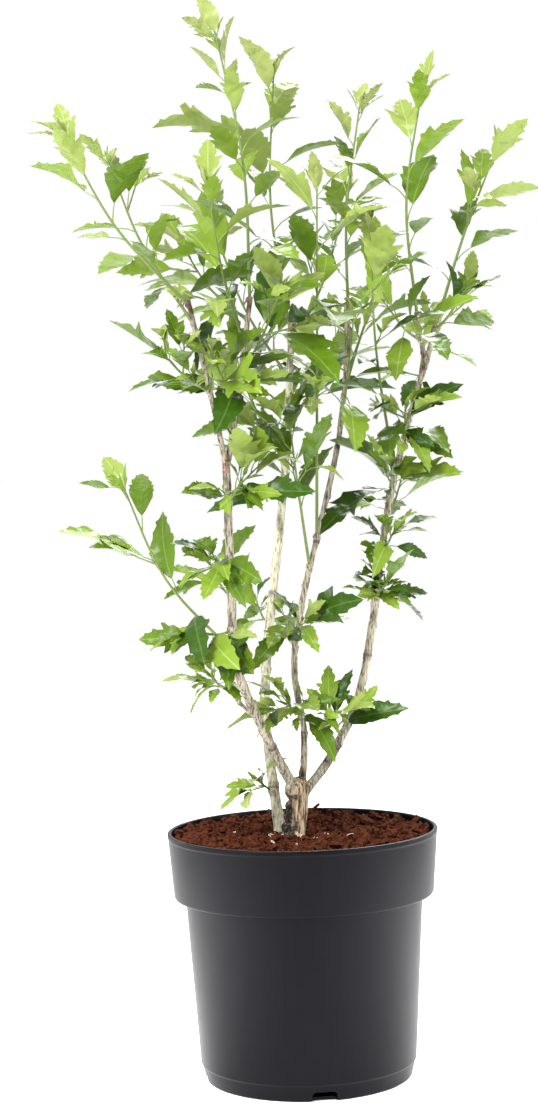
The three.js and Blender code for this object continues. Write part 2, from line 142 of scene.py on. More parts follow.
def turned(vector: np.ndarray, axis: np.ndarray, angle: float) -> np.ndarray:
    """Turns a vector about a unit axis.

    Args:
        vector: What is turned.
        axis: Unit axis.
        angle: Turn in radians.

    Returns:
        The turned vector.
    """
    along = axis * np.dot(axis, vector) * (1 - math.cos(angle))
    return vector * math.cos(angle) + np.cross(axis, vector) * math.sin(angle) + along


class Line:
    """A smooth line through a few knees, read by shares of its length."""

    STEPS = 200
    # A direction that no line starts along, and the step that a tangent is taken over
    ASIDE = np.array([0.31, 0.95, 0.05])
    REACH = 1e-4

    def __init__(self, knees: Iterable[Sequence[float]]) -> None:
        """Lays the line.

        Args:
            knees: Points in millimetres that the line passes through.
        """
        inner = np.array([list(knee) for knee in knees], float)
        self.points = np.vstack([2 * inner[0] - inner[1], inner, 2 * inner[-1] - inner[-2]])
        self.times = np.linspace(0, 1, self.STEPS + 1)
        gaps = np.linalg.norm(np.diff(self._at_times(self.times), axis=0), axis=1)
        lengths = np.concatenate([[0], np.cumsum(gaps)])
        self.length = float(lengths[-1])
        self.shares = lengths / self.length

    def _at_times(self, times: np.ndarray) -> np.ndarray:
        """Gives the points at times from 0 to 1, evenly spaced from knee to knee."""
        spans = len(self.points) - 3
        place = np.clip(times * spans, 0, spans)
        first = np.minimum(place.astype(int), spans - 1)
        t = (place - first)[:, None]
        p0, p1, p2, p3 = (self.points[first + i] for i in range(4))
        start, end = (p2 - p0) / 2, (p3 - p1) / 2
        return (
            p1
            + start * t
            + (3 * (p2 - p1) - 2 * start - end) * t**2
            + (2 * (p1 - p2) + start + end) * t**3
        )

    def at(self, shares: np.ndarray | float) -> np.ndarray:
        """Gives the points at some shares of the length.

        Args:
            shares: One share or several, from 0 to 1.

        Returns:
            One point, or one row for each share.
        """
        found = self._at_times(np.interp(np.atleast_1d(shares), self.shares, self.times))
        return found if np.ndim(shares) else found[0]

    def tangent(self, shares: np.ndarray | float) -> np.ndarray:
        """Gives the unit directions of the line at some shares of its length.

        Args:
            shares: One share or several, from 0 to 1.

        Returns:
            One direction, or one row for each share.
        """
        times = np.interp(np.atleast_1d(shares), self.shares, self.times)
        after, before = np.minimum(times + self.REACH, 1), np.maximum(times - self.REACH, 0)
        ahead = self._at_times(after) - self._at_times(before)
        ahead /= np.linalg.norm(ahead, axis=1, keepdims=True)
        return ahead if np.ndim(shares) else ahead[0]

    def frames(self, shares: np.ndarray) -> tuple[np.ndarray, np.ndarray, np.ndarray]:
        """Gives points with two directions square to the line, which don't spin along it.

        Args:
            shares: Shares of the length, rising.

        Returns:
            Points, first directions and second directions, one row for each share.
        """
        tangents = self.tangent(shares)
        firsts = []
        side = square_to(self.ASIDE, tangents[0])
        for tangent in tangents:
            side = square_to(side, tangent)
            firsts.append(side)
        first = np.array(firsts)
        return self.at(shares), first, np.cross(tangents, first)


def add_node(
    tree: bpy.types.NodeTree,
    kind: str,
    inputs: Mapping[str | int, object] | None = None,
    **settings: object,
) -> bpy.types.Node:
    """Adds a shader node with its settings and links.

    Args:
        tree: Tree that takes the node.
        kind: Blender's name of the node type.
        inputs: Values or other nodes' outputs for its sockets, by name or number.
        **settings: Values for the node's own properties.

    Returns:
        The new node.
    """
    node = tree.nodes.new(kind)
    for name, value in settings.items():
        setattr(node, name, value)
    for socket, value in (inputs or {}).items():
        if isinstance(value, Socket):
            tree.links.new(value, node.inputs[socket])
        else:
            node.inputs[socket].default_value = value
    return node


class Shading:
    """The node tree of one material, with the few steps that the finishes are mixed from."""

    def __init__(self, name: str) -> None:
        """Makes an empty node material.

        Args:
            name: Name of the material.
        """
        self.material = bpy.data.materials.new(name)
        self.material.use_nodes = True
        self.tree = self.material.node_tree
        self.tree.nodes.clear()

    def place(self, stretch: float = 1.0) -> Socket:
        """Gives the place on the object, drawn out so many times upwards."""
        place = add_node(self.tree, "ShaderNodeTexCoord").outputs["Object"]
        inputs = {"Vector": place, "Scale": (1, 1, 1 / stretch)}
        return add_node(self.tree, "ShaderNodeMapping", inputs).outputs[0]

    def cloud(self, place: Socket, width: float, detail: float, roughness: float = 0.5) -> Socket:
        """Gives a cloudy pattern.

        Args:
            place: Place on the object.
            width: Width of one cloud in millimetres.
            detail: How many finer layers it has.
            roughness: How strong the finer layers are.

        Returns:
            The pattern, from about 0 to 1.
        """
        inputs = {"Vector": place, "Scale": 1 / (width * MM), "Detail": detail, "Roughness": roughness}
        return add_node(self.tree, "ShaderNodeTexNoise", inputs).outputs[0]

    def ramp(self, value: Socket, source: Pair = (0.0, 1.0), target: Pair = (0.0, 1.0)) -> Socket:
        """Carries a value from one range to another, held at its ends.

        Args:
            value: The value.
            source: Range that it comes from.
            target: Range that it goes to.

        Returns:
            The new value.
        """
        ends = dict(zip(("From Min", "From Max", "To Min", "To Max"), (*source, *target)))
        return add_node(self.tree, "ShaderNodeMapRange", {"Value": value, **ends}).outputs[0]

    def work_out(self, operation: str, *values: Socket | float) -> Socket:
        """Works out one sum of other values."""
        return add_node(self.tree, "ShaderNodeMath", dict(enumerate(values)), operation=operation).outputs[0]

    def blend(self, share: Socket, first: object, second: object) -> Socket:
        """Blends two tones, each a linear colour or another step's tone."""
        inputs = {0: share, 6: first, 7: second}
        return add_node(self.tree, "ShaderNodeMix", inputs, data_type="RGBA").outputs[2]

    def relief(self, height: Socket, strength: float, depth: float, under: Socket | None = None) -> Socket:
        """Turns a pattern into fine relief.

        Args:
            height: The pattern.
            strength: Share of the relief that shows.
            depth: Its depth in millimetres.
            under: Coarser relief that it lies on, if any.

        Returns:
            The bent surface direction.
        """
        inputs = {"Height": height, "Strength": strength, "Distance": depth * MM}
        if under is not None:
            inputs["Normal"] = under
        return add_node(self.tree, "ShaderNodeBump", inputs).outputs[0]

    def finish(self, inputs: Mapping[str, object]) -> bpy.types.Material:
        """Ends the tree in one surface.

        Args:
            inputs: Values or other steps for the surface's sockets.

        Returns:
            The finished material.
        """
        surface = add_node(self.tree, "ShaderNodeBsdfPrincipled", inputs)
        add_node(self.tree, "ShaderNodeOutputMaterial", {"Surface": surface.outputs[0]})
        return self.material


@dataclass(frozen=True)
class PotPlastic:
    """Recycled black polypropylene, injection moulded: charcoal, satin, a fine grain and faint streaks.

    Attributes:
        name: Common name of the material.
        colour: Main tone.
        streak: Tone of the streaks.
        haze: Tint of its highlights.
        sheen: Strength of its highlights.
        roughness: How dull it is, between streaks and on them.
        grain: Width of the grain in millimetres.
        grain_depth: Depth of the grain in millimetres.
        streak_width: Width of a streak in millimetres.
        streak_stretch: How many times longer than wide a streak is.
        streak_edge: Where in the pattern a streak starts and is full.
    """

    name: str = "moulded_polypropylene"
    colour: str = "#040405"
    streak: str = "#070709"
    haze: str = "#f4f2ff"
    sheen: float = 0.1
    roughness: Pair = (0.33, 0.4)
    grain: float = 0.9
    grain_depth: float = 0.3
    streak_width: float = 9.0
    streak_stretch: float = 1 / 0.12
    streak_edge: Pair = (0.45, 0.75)

    def material(self) -> bpy.types.Material:
        """Builds the material."""
        shading = Shading(self.name)
        streaks = shading.cloud(shading.place(self.streak_stretch), self.streak_width, 4.0)
        share = shading.ramp(streaks, self.streak_edge)
        grain = shading.cloud(shading.place(), self.grain, 2.0)
        return shading.finish(
            {
                "Base Color": shading.blend(share, linear(self.colour), linear(self.streak)),
                "Roughness": shading.ramp(streaks, target=self.roughness),
                "Normal": shading.relief(grain, 0.12, self.grain_depth),
                "Specular IOR Level": self.sheen,
                "Specular Tint": linear(self.haze),
            }
        )


@dataclass(frozen=True)
class Fibrous:
    """Bark, wood or mulch: a dull surface of two mottled tones, drawn out along its grain.

    Attributes:
        name: Common name of the material.
        colour: Main tone.
        fleck: Tone of the patches.
        patch: Width of a patch in millimetres.
        stretch: How many times longer than wide a patch is, upwards.
        cover: Share of the surface that patches take.
        relief: Depth of the fine grain in millimetres.
        roughness: How dull it is.
        sheen: Strength of its highlights.
        stain_and_shade: Tone of the dark places that the mesh marks, real stains and painted shade alike, or
            none.
    """

    name: str
    colour: str
    fleck: str
    patch: float = 3.0
    stretch: float = 3.0
    cover: float = 0.5
    relief: float = 0.3
    roughness: float = 0.85
    sheen: float = 0.3
    stain_and_shade: str = ""

    def material(self) -> bpy.types.Material:
        """Builds the material."""
        shading = Shading(self.name)
        patches = shading.cloud(shading.place(self.stretch), self.patch, 5.0, 0.65)
        edge = 0.62 - 0.24 * self.cover
        share = shading.ramp(patches, (edge - 0.06, edge + 0.1))
        colour = shading.blend(share, linear(self.colour), linear(self.fleck))
        if self.stain_and_shade:
            # Marked places take the dark tone: real stains, and painted shade in the crease and round the
            # fork
            mark = add_node(shading.tree, "ShaderNodeAttribute", attribute_name=STAIN_AND_SHADE).outputs["Fac"]
            colour = shading.blend(mark, colour, linear(self.stain_and_shade))
        return shading.finish(
            {
                "Base Color": colour,
                "Roughness": self.roughness,
                "Specular IOR Level": self.sheen,
                "Normal": shading.relief(patches, 0.5, self.relief),
            }
        )


@dataclass(frozen=True)
class LeafSkin:
    """One face of a living leaf: a waxy green skin, with a pale midrib and side veins pressed into it.

    Attributes:
        name: Name of this face.
        colour: Tone of the blade.
        vein: Tone of its veins.
        middle: Where the midrib lies across the leaf's map.
        roughness: How dull the skin is.
        sheen: Strength of its highlights.
    """

    name: str
    colour: str
    vein: str
    middle: float
    roughness: float
    sheen: float

    # Shares of the blade's length: half width of the midrib, spacing and half width of side veins
    RIB = 0.008
    SPACING = 0.15
    VEIN = 0.1
    # Forward run of a side vein for each step outwards
    SWEEP = 0.8
    # How strongly side veins show beside the midrib, and the midrib's own tone beside the blade's
    FAINT = 0.3
    TINT = 0.5
    # Width and depth of the waves in the blade, and depth of the veins, in millimetres
    SWELL = 13.0
    SWELL_DEPTH = 6.0
    VEIN_DEPTH = 3.0

    def material(self) -> bpy.types.Material:
        """Builds the material."""
        shading = Shading(self.name)
        spot = add_node(shading.tree, "ShaderNodeUVMap", uv_map=LeafMesh.MAP).outputs[0]
        axes = add_node(shading.tree, "ShaderNodeSeparateXYZ", {0: spot}).outputs
        across = shading.work_out("ABSOLUTE", shading.work_out("SUBTRACT", axes[0], self.middle))
        half = LeafMesh.TILE * self.RIB
        rib = shading.ramp(across, (half, half * 2), (1.0, 0.0))
        run = shading.work_out("MULTIPLY_ADD", across, -self.SWEEP / LeafMesh.TILE, axes[1])
        turn = shading.work_out("PINGPONG", run, self.SPACING)
        vein = shading.ramp(turn, (0.0, self.SPACING * self.VEIN), (self.FAINT, 0.0))
        share = shading.work_out("MULTIPLY", shading.work_out("MAXIMUM", rib, vein), self.TINT)
        swell = shading.cloud(shading.place(), self.SWELL, 1.0)
        wavy = shading.relief(swell, 0.7, self.SWELL_DEPTH)
        return shading.finish(
            {
                "Base Color": shading.blend(share, linear(self.colour), linear(self.vein)),
                "Roughness": self.roughness,
                "Specular IOR Level": self.sheen,
                "Normal": shading.relief(turn, 0.3, self.VEIN_DEPTH, wavy),
            }
        )


@dataclass(frozen=True)
class Plain:
    """A small living part, or the studio floor: one tone with an even sheen.

    Attributes:
        name: Common name of the material.
        colour: Its tone.
        roughness: How dull it is.
        sheen: Strength of its highlights.
    """

    name: str
    colour: str
    roughness: float
    sheen: float = 0.4

    def material(self) -> bpy.types.Material:
        """Builds the material."""
        return Shading(self.name).finish(
            {
                "Base Color": linear(self.colour),
                "Roughness": self.roughness,
                "Specular IOR Level": self.sheen,
            }
        )


def deselect() -> None:
    """Leaves object mode with nothing selected."""
    if bpy.context.object and bpy.context.object.mode != "OBJECT":
        bpy.ops.object.mode_set(mode="OBJECT")
    bpy.ops.object.select_all(action="DESELECT")


def select(*objects: bpy.types.Object) -> None:
    """Selects these objects alone, the first one active."""
    deselect()
    for obj in objects:
        obj.select_set(True)
    bpy.context.view_layer.objects.active = objects[0]


def places(obj: bpy.types.Object) -> np.ndarray:
    """Reads an object's vertices in metres, one row each."""
    found = np.empty(len(obj.data.vertices) * 3, np.float32)
    obj.data.vertices.foreach_get("co", found)
    return found.reshape(-1, 3).astype(float)


def put(obj: bpy.types.Object, points: np.ndarray) -> None:
    """Moves an object's vertices to these points, in metres."""
    obj.data.vertices.foreach_set("co", points.astype(np.float32).ravel())
    obj.data.update()


def apply_modifier(obj: bpy.types.Object, kind: str, **settings: object) -> None:
    """Adds a modifier to an object and applies it.

    Args:
        obj: Object that takes it.
        kind: Blender's name of the modifier type.
        **settings: The modifier's properties.
    """
    select(obj)
    modifier = obj.modifiers.new(kind.lower(), kind)
    for name, value in settings.items():
        setattr(modifier, name, value)
    bpy.ops.object.modifier_apply(modifier=modifier.name)


def dress(obj: bpy.types.Object, name: str, finishes: Sequence, nodes: Sequence[str]) -> None:
    """Names a piece, gives it its finishes and ties it to the frame.

    Args:
        obj: The finished piece.
        name: Name of the piece.
        finishes: Finishes in the order of its material slots.
        nodes: Nodes of the frame that the piece stands for.
    """
    obj.name = name
    obj.data.name = name
    obj.data.materials.clear()
    for finish in finishes:
        obj.data.materials.append(finish.material())
    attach(obj, BODY)
    if nodes:
        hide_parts(*nodes)
    obj.data.calc_loop_triangles()
    LOG.info("%s: %d triangles", name, len(obj.data.loop_triangles))


@dataclass
class Heap:
    """Small things of one kind, gathered as arrays to become one joined mesh."""

    # Edges that turn more than this many degrees stay sharp
    SHARP = 62.0

    points: list[np.ndarray] = field(default_factory=list)
    faces: list[np.ndarray] = field(default_factory=list)
    tones: list[np.ndarray] = field(default_factory=list)
    maps: list[np.ndarray] = field(default_factory=list)
    count: int = 0

    def add(
        self,
        points: np.ndarray,
        faces: np.ndarray,
        tone: int | np.ndarray = 0,
        spots: np.ndarray | None = None,
    ) -> None:
        """Adds one thing.

        Args:
            points: Its vertices in millimetres.
            faces: Its faces, all with the same number of corners, as rows of vertex numbers.
            tone: Material slot of its faces, one for all or one for each.
            spots: Place of each face corner on the map, if it has one.
        """
        self.points.append(points)
        self.faces.append(faces + self.count)
        self.tones.append(np.broadcast_to(tone, len(faces)))
        if spots is not None:
            self.maps.append(spots.reshape(-1, 2))
        self.count += len(points)

    def piece(self) -> bpy.types.Object:
        """Joins what was gathered into one mesh object.

        Returns:
            The new object, in metres.
        """
        mesh = bpy.data.meshes.new("heap")
        rows = [tuple(row) for block in self.faces for row in block.tolist()]
        mesh.from_pydata((np.vstack(self.points) * MM).tolist(), [], rows)
        mesh.polygons.foreach_set("material_index", np.concatenate(self.tones).astype(np.int32))
        mesh.polygons.foreach_set("use_smooth", np.ones(len(rows), bool))
        if self.maps:
            layer = mesh.uv_layers.new(name=LeafMesh.MAP)
            layer.data.foreach_set("uv", np.vstack(self.maps).astype(np.float32).ravel())
        mesh.set_sharp_from_angle(angle=math.radians(self.SHARP))
        obj = bpy.data.objects.new("heap", mesh)
        bpy.context.scene.collection.objects.link(obj)
        return obj


def tube(
    centres: np.ndarray, firsts: np.ndarray, seconds: np.ndarray, radii: np.ndarray, sides: int
) -> tuple[np.ndarray, np.ndarray]:
    """Makes a closed round tube.

    Args:
        centres: Middle of each ring.
        firsts: A direction square to the tube at each ring.
        seconds: The other direction at each ring.
        radii: Radius of each ring.
        sides: Corners of a ring.

    Returns:
        Vertices, and triangles as rows of vertex numbers.
    """
    angles = np.arange(sides) * 2 * math.pi / sides
    cosines, sines = np.cos(angles)[None, :, None], np.sin(angles)[None, :, None]
    spokes = firsts[:, None] * cosines + seconds[:, None] * sines
    rings = centres[:, None] + spokes * radii[:, None, None]
    points = np.vstack([rings.reshape(-1, 3), centres[:1], centres[-1:]])
    corner = np.arange(sides)
    after = (corner + 1) % sides
    rows = np.arange(len(centres) - 1)[:, None] * sides
    a, b = (rows + corner).ravel(), (rows + after).ravel()
    walls = np.vstack([np.stack([a, b, b + sides], 1), np.stack([a, b + sides, a + sides], 1)])
    last = (len(centres) - 1) * sides
    foot, tip = len(points) - 2, len(points) - 1
    ends = [
        np.stack([np.full(sides, foot), after, corner], 1),
        np.stack([np.full(sides, tip), last + corner, last + after], 1),
    ]
    return points, np.vstack([walls, *ends])


def line_tube(line: Line, radii: Pair, sides: int, gap: float) -> tuple[np.ndarray, np.ndarray]:
    """Makes a tapering tube along a line.

    Args:
        line: The line it follows.
        radii: Its radius at foot and tip.
        sides: Corners of a ring.
        gap: Distance between rings.

    Returns:
        Vertices and triangles.
    """
    shares = np.linspace(0, 1, max(2, round(line.length / gap)) + 1)
    return tube(*line.frames(shares), between(radii, shares), sides)


def rounded(corners: Sequence[Point], steps: int = 4) -> list[Pair]:
    """Rounds the corners of a profile.

    Args:
        corners: Points as distance out, height, and radius of the round, 0 for a sharp corner.
        steps: Straight pieces in each round.

    Returns:
        The profile's points as distance out and height.
    """
    points = [np.array(corner[:2]) for corner in corners]
    made = []
    for i, (*_, radius) in enumerate(corners):
        if radius == 0:
            made.append(tuple(points[i]))
            continue
        back, ahead = unit(points[i - 1] - points[i]), unit(points[i + 1] - points[i])
        half = math.acos(np.clip(np.dot(back, ahead), -1, 1)) / 2
        start, end = points[i] + back * radius / math.tan(half), points[i] + ahead * radius / math.tan(half)
        for t in np.linspace(0, 1, steps + 1):
            made.append(tuple(start * (1 - t) ** 2 + points[i] * 2 * t * (1 - t) + end * t**2))
    return made


def spun(profile: Sequence[Pair], sides: int) -> bpy.types.Object:
    """Spins a profile about the Z axis into a closed round shape.

    Args:
        profile: Points as distance out and height, in millimetres, from the axis to the axis.
        sides: Steps of the turn.

    Returns:
        The new object.
    """
    deselect()
    first = Vector((profile[0][0], 0, profile[0][1])) * MM
    bpy.ops.mesh.primitive_plane_add(size=MM, location=first)
    obj = bpy.context.object
    bpy.ops.object.transform_apply(location=True, rotation=False, scale=False)
    bpy.ops.object.mode_set(mode="EDIT")
    bpy.ops.mesh.select_all(action="SELECT")
    bpy.ops.mesh.merge(type="CENTER")
    for (out, height), (next_out, next_height) in zip(profile, profile[1:]):
        step = (MM * (next_out - out), 0, MM * (next_height - height))
        bpy.ops.mesh.extrude_region_move(TRANSFORM_OT_translate={"value": step})
    bpy.ops.mesh.select_all(action="SELECT")
    bpy.ops.mesh.spin(steps=sides, angle=2 * math.pi, center=(0, 0, 0), axis=(0, 0, 1))
    bpy.ops.mesh.select_all(action="SELECT")
    bpy.ops.mesh.remove_doubles(threshold=0.01 * MM)
    bpy.ops.mesh.normals_make_consistent(inside=False)
    bpy.ops.object.mode_set(mode="OBJECT")
    return obj


@dataclass
class NurseryPot:
    """A tapered tub with a wide band at the rim, a crease above its foot and drain notches round it."""

    # The wall from the rim to the foot: radii and heights of its band, shoulder, crease and foot
    rim_radius: float = 115.0
    band_foot_radius: float = 110.5
    band_foot: float = 160.0
    shoulder: float = 4.5
    body_radius: float = 101.0
    crease_radius: float = 91.6
    crease: float = 13.0
    foot_radius: float = 89.3
    foot_round: float = 2.6
    wall: float = 2.0
    floor: float = 2.5
    lip: float = 1.4
    sides: int = 144
    sharp_angle: float = 40.0
    # Drain notches: how many, their depth, width and height, and the compass turn of the first
    notch_count: int = 4
    notch_size: Point = (14.0, 21.0, 8.2)
    notch_turn: float = -82.0
    notch_round: float = 0.45
    finish: PotPlastic = PotPlastic()

    @property
    def height(self) -> float:
        """Height of the rim, from the frame, in millimetres."""
        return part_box("pot")[1].z / MM

    def profile(self) -> list[Pair]:
        """Works out the outline of the wall.

        Returns:
            Points as distance out and height, from under the floor round the rim to above the floor.
        """
        p = self
        under = p.band_foot - p.shoulder
        # Each row is a corner: distance out, height, and radius of its round
        return rounded(
            [
                (0, 0, 0),
                (p.foot_radius - 1.2, 0, p.foot_round * 0.8),
                (p.crease_radius - 0.6, p.crease, 0.9),
                (p.crease_radius + 0.5, p.crease + 1.6, 0.9),
                (p.body_radius, under, 1.6),
                (p.band_foot_radius, under + 0.3, 2.2),
                (p.rim_radius - 0.5, p.height - 5, 0.8),
                (p.rim_radius, p.height - 3.6, 0.8),
                (p.rim_radius, p.height, p.lip),
                (p.rim_radius - p.wall - p.lip, p.height, p.lip * 0.8),
                (p.band_foot_radius - p.wall, p.band_foot, 0),
                (p.body_radius - p.wall, under - p.wall, 0),
                (p.crease_radius - p.wall, p.crease, 0),
                (p.foot_radius - p.wall, p.floor, 0),
                (0, p.floor, 0),
            ]
        )

    def cutters(self) -> bpy.types.Object:
        """Makes the blocks that the drain notches are cut with, rounded above.

        Returns:
            One object of all the blocks.
        """
        depth, width, height = (MM * size for size in self.notch_size)
        blocks = []
        for i in range(self.notch_count):
            deselect()
            bpy.ops.mesh.primitive_cube_add(size=1, location=(0, 0, 0))
            block = bpy.context.object
            bpy.ops.object.mode_set(mode="EDIT")
            bpy.ops.mesh.select_all(action="SELECT")
            bpy.ops.transform.resize(value=(depth, width, 2 * height))
            bpy.ops.mesh.bevel(offset=self.notch_round * height, segments=3, affect="EDGES")
            bpy.ops.transform.translate(value=(self.foot_radius * MM, 0, 0))
            bpy.ops.object.mode_set(mode="OBJECT")
            turn = math.radians(self.notch_turn + i * 360 / self.notch_count)
            block.data.transform(Matrix.Rotation(turn, 4, "Z"))
            blocks.append(block)
        select(*blocks)
        bpy.ops.object.join()
        return bpy.context.object

    def build(self) -> None:
        """Builds and dresses the pot."""
        pot = spun(self.profile(), self.sides)
        cutters = self.cutters()
        apply_modifier(pot, "BOOLEAN", object=cutters, operation="DIFFERENCE", solver="EXACT")
        bpy.data.objects.remove(cutters)
        select(pot)
        bpy.ops.object.shade_smooth_by_angle(angle=math.radians(self.sharp_angle))
        dress(pot, "pot_shell", [self.finish], ["pot"])


@dataclass
class BarkMulch:
    """Coarse shredded bark that fills the pot: a lumpy bed, chips and fibres on it, and a few pale roots."""

    # The bed: its level, its rise from a hollow round the stump to the wall, its radius and its lumps
    level: float = 203.0
    edge_rise: float = 3.0
    hollow: float = 46.0
    edge: float = 110.6
    lump: float = 3.4
    lump_width: float = 17.0
    calm_edge: Pair = (100.0, 109.0)
    skirt: float = 30.0
    sides: int = 120
    rings: int = 34
    sharp_angle: float = 50.0
    # Chips: how many, their sizes, how high they lie and the steps between their tones
    chips: int = 1150
    chip_margin: float = 3.0
    chip_length: Pair = (5.0, 26.0)
    chip_width: Pair = (2.2, 9.5)
    chip_depth: Pair = (1.2, 4.6)
    chip_tilt: float = 0.5
    chip_lift: float = 3.4
    chip_tones: tuple[float, ...] = (0.3, 0.58, 0.87)
    # Fibres: how many, their sizes and how high they lie
    fibres: int = 800
    fibre_margin: float = 6.0
    fibre_length: Pair = (7.0, 24.0)
    fibre_radius: float = 0.32
    fibre_curl: float = 0.9
    fibre_lift: Pair = (1.5, 1.6)
    # Roots: how many, where they lie round the stump, how they wander and how high they arch
    roots: int = 12
    root_middle: float = -8.0
    root_reach: Pair = (14.0, 58.0)
    root_turn: Pair = (190.0, 350.0)
    root_step: float = 3.0
    root_arch: tuple[float, ...] = (3.0, 5.2, 6.2, 5.0, 2.8)
    root_radius: Pair = (0.3, 0.18)
    seed: int = 41
    # The bed is near black: moist fines, darkened further as painted shade in the gaps between the chips
    bed_finish: Fibrous = Fibrous("moist_bark_fines", "#120906", "#0a0503", 4.0, 1.0, 0.5, 1.0, sheen=0.02)
    chip_finishes: tuple[Fibrous, ...] = tuple(
        Fibrous(f"bark_shred_{name}", colour, fleck, 2.6, 1.0, cover, 0.6, sheen=0.02)
        for name, colour, fleck, cover in (
            ("rust", "#4c2718", "#25110b", 0.5),
            ("red", "#2c120b", "#170905", 0.5),
            ("dark", "#150a07", "#0a0503", 0.5),
            ("tan", "#6c412f", "#402316", 0.4),
        )
    )
    root_finish: Plain = Plain("feeder_root", "#d2c5b0", 0.7)

    def height(self, x: np.ndarray, y: np.ndarray) -> np.ndarray:
        """Works out the height of the bed, lumps included.

        Args:
            x: Distances to the right in millimetres.
            y: Distances to the back in millimetres.

        Returns:
            Heights in millimetres.
        """
        out = np.hypot(x, y)
        rise = np.interp(out, [0, self.hollow, self.edge - 12, self.edge], [0, 0, 1, 0.4]) * self.edge_rise
        spots = np.stack([x, y, np.zeros_like(x)], -1).reshape(-1, 3) / self.lump_width
        lumps = np.array([noise.fractal(Vector(spot), 0.9, 2.1, 4) for spot in spots])
        calm = np.interp(out, self.calm_edge, [1, 0.3])
        return self.level + rise + self.lump * lumps.reshape(np.shape(x)) * calm

    def bed(self) -> None:
        """Builds and dresses the lumpy bed."""
        top = [(self.edge * (1 - i / self.rings), self.level) for i in range(self.rings + 1)]
        under = self.level - self.skirt
        bed = spun([(0, under), (self.edge - 3.5, under), *top], self.sides)
        points = places(bed) / MM
        upper = points[:, 2] > self.level - 1
        points[upper, 2] = self.height(points[upper, 0], points[upper, 1])
        put(bed, points * MM)
        select(bed)
        bpy.ops.object.shade_smooth_by_angle(angle=math.radians(self.sharp_angle))
        dress(bed, "mulch_bed", [self.bed_finish], ["soil"])

    def spread(self, rng: np.random.Generator, count: int, margin: float) -> tuple[np.ndarray, np.ndarray]:
        """Scatters places over the bed.

        Args:
            rng: Seeded source of numbers.
            count: How many places.
            margin: Distance kept from the wall.

        Returns:
            Places on the bed in millimetres, and compass turns in radians.
        """
        out = (self.edge - margin) * np.sqrt(rng.random(count))
        turn = rng.random(count) * 2 * math.pi
        x, y = out * np.cos(turn), out * np.sin(turn)
        return np.stack([x, y, self.height(x, y)], 1), rng.random(count) * 2 * math.pi

    def chip(self, rng: np.random.Generator, centre: np.ndarray, turn: float, heap: Heap) -> None:
        """Adds one torn chip to a heap.

        Args:
            rng: Seeded source of numbers.
            centre: Place on the bed.
            turn: Compass turn of its grain.
            heap: Heap that takes it.
        """
        size = rng.random() ** 1.8
        length = between(self.chip_length, size)
        width = between(self.chip_width, rng.random() * (0.4 + 0.6 * size))
        depth = between(self.chip_depth, rng.random())
        # Four rings of four corners, widest in the middle and torn narrow at both ends
        ends = np.array([-0.5, -0.1, 0.3, 0.5])
        wide = width * np.array([0.25, 0.5, 0.42, 0.12]) * (0.7 + 0.6 * rng.random(4))
        bend = rng.normal(0, 0.06, 4) * length
        rows = []
        for end, half, off in zip(ends, wide, bend):
            for across, high in ((-1, -0.4), (1, -0.5), (0.8, 0.5), (-0.7, 0.45)):
                rows.append((end * length, across * half + off, high * depth + rng.normal(0, 0.12)))
        points = np.array(rows)
        tilt, roll = rng.uniform(-self.chip_tilt, self.chip_tilt), rng.normal(0, self.chip_tilt)
        place = Matrix.Rotation(turn, 3, "Z") @ Matrix.Rotation(tilt, 3, "Y") @ Matrix.Rotation(roll, 3, "X")
        points = points @ np.array(place).T
        reach = np.hypot(*(points[:, :2] + centre[:2]).T).max()
        inward = centre * [1, 1, 0] * min(0, (self.edge - 0.4 - reach) / np.hypot(*centre[:2]))
        lift = rng.random() ** 2 * self.chip_lift
        faces = [(3, 2, 1), (3, 1, 0), (12, 13, 14), (12, 14, 15)]
        for ring in range(0, 12, 4):
            for i in range(4):
                a, b = ring + i, ring + (i + 1) % 4
                faces += [(a, b, b + 4), (a, b + 4, a + 4)]
        tone = int(np.searchsorted(self.chip_tones, rng.random()))
        heap.add(points + centre + inward + [0, 0, lift], np.array(faces), tone)

    def fibre(self, rng: np.random.Generator, centre: np.ndarray, turn: float, heap: Heap) -> None:
        """Adds one curled fibre to a heap.

        Args:
            rng: Seeded source of numbers.
            centre: Place on the bed.
            turn: Compass turn of the fibre.
            heap: Heap that takes it.
        """
        length = between(self.fibre_length, rng.random() ** 2)
        curl = rng.normal(0, self.fibre_curl)
        knees = []
        for share in (-0.5, -0.17, 0.17, 0.5):
            angle = turn + curl * share
            knees.append(centre + length * share * np.array([math.cos(angle), math.sin(angle), 0]))
        flat = np.array(knees)
        out = np.maximum(np.hypot(flat[:, 0], flat[:, 1]), 1e-6)
        flat[:, :2] *= np.minimum(1, (self.edge - 1.2) / out)[:, None]
        lift, vary = self.fibre_lift
        flat[:, 2] = self.height(flat[:, 0], flat[:, 1]) + lift + rng.random(4) * vary
        radius = self.fibre_radius * (0.7 + 0.9 * rng.random())
        tone = int(rng.integers(len(self.chip_finishes)))
        heap.add(*line_tube(Line(flat), (radius, radius * 0.4), 3, length / 5), tone)

    def root(self, rng: np.random.Generator, heap: Heap) -> None:
        """Adds one pale root, which wanders over the bed in front of the stump, to a heap.

        Args:
            rng: Seeded source of numbers.
            heap: Heap that takes it.
        """
        out = rng.uniform(*self.root_reach)
        turn = rng.uniform(*(math.radians(angle) for angle in self.root_turn))
        foot = np.array([self.root_middle + out * math.cos(turn), out * math.sin(turn)])
        steps = np.cumsum(rng.normal(0, self.root_step, (len(self.root_arch), 2)), axis=0) + foot
        high = self.height(steps[:, 0], steps[:, 1]) + self.root_arch
        heap.add(*line_tube(Line(np.column_stack([steps, high])), self.root_radius, 4, 1.2))

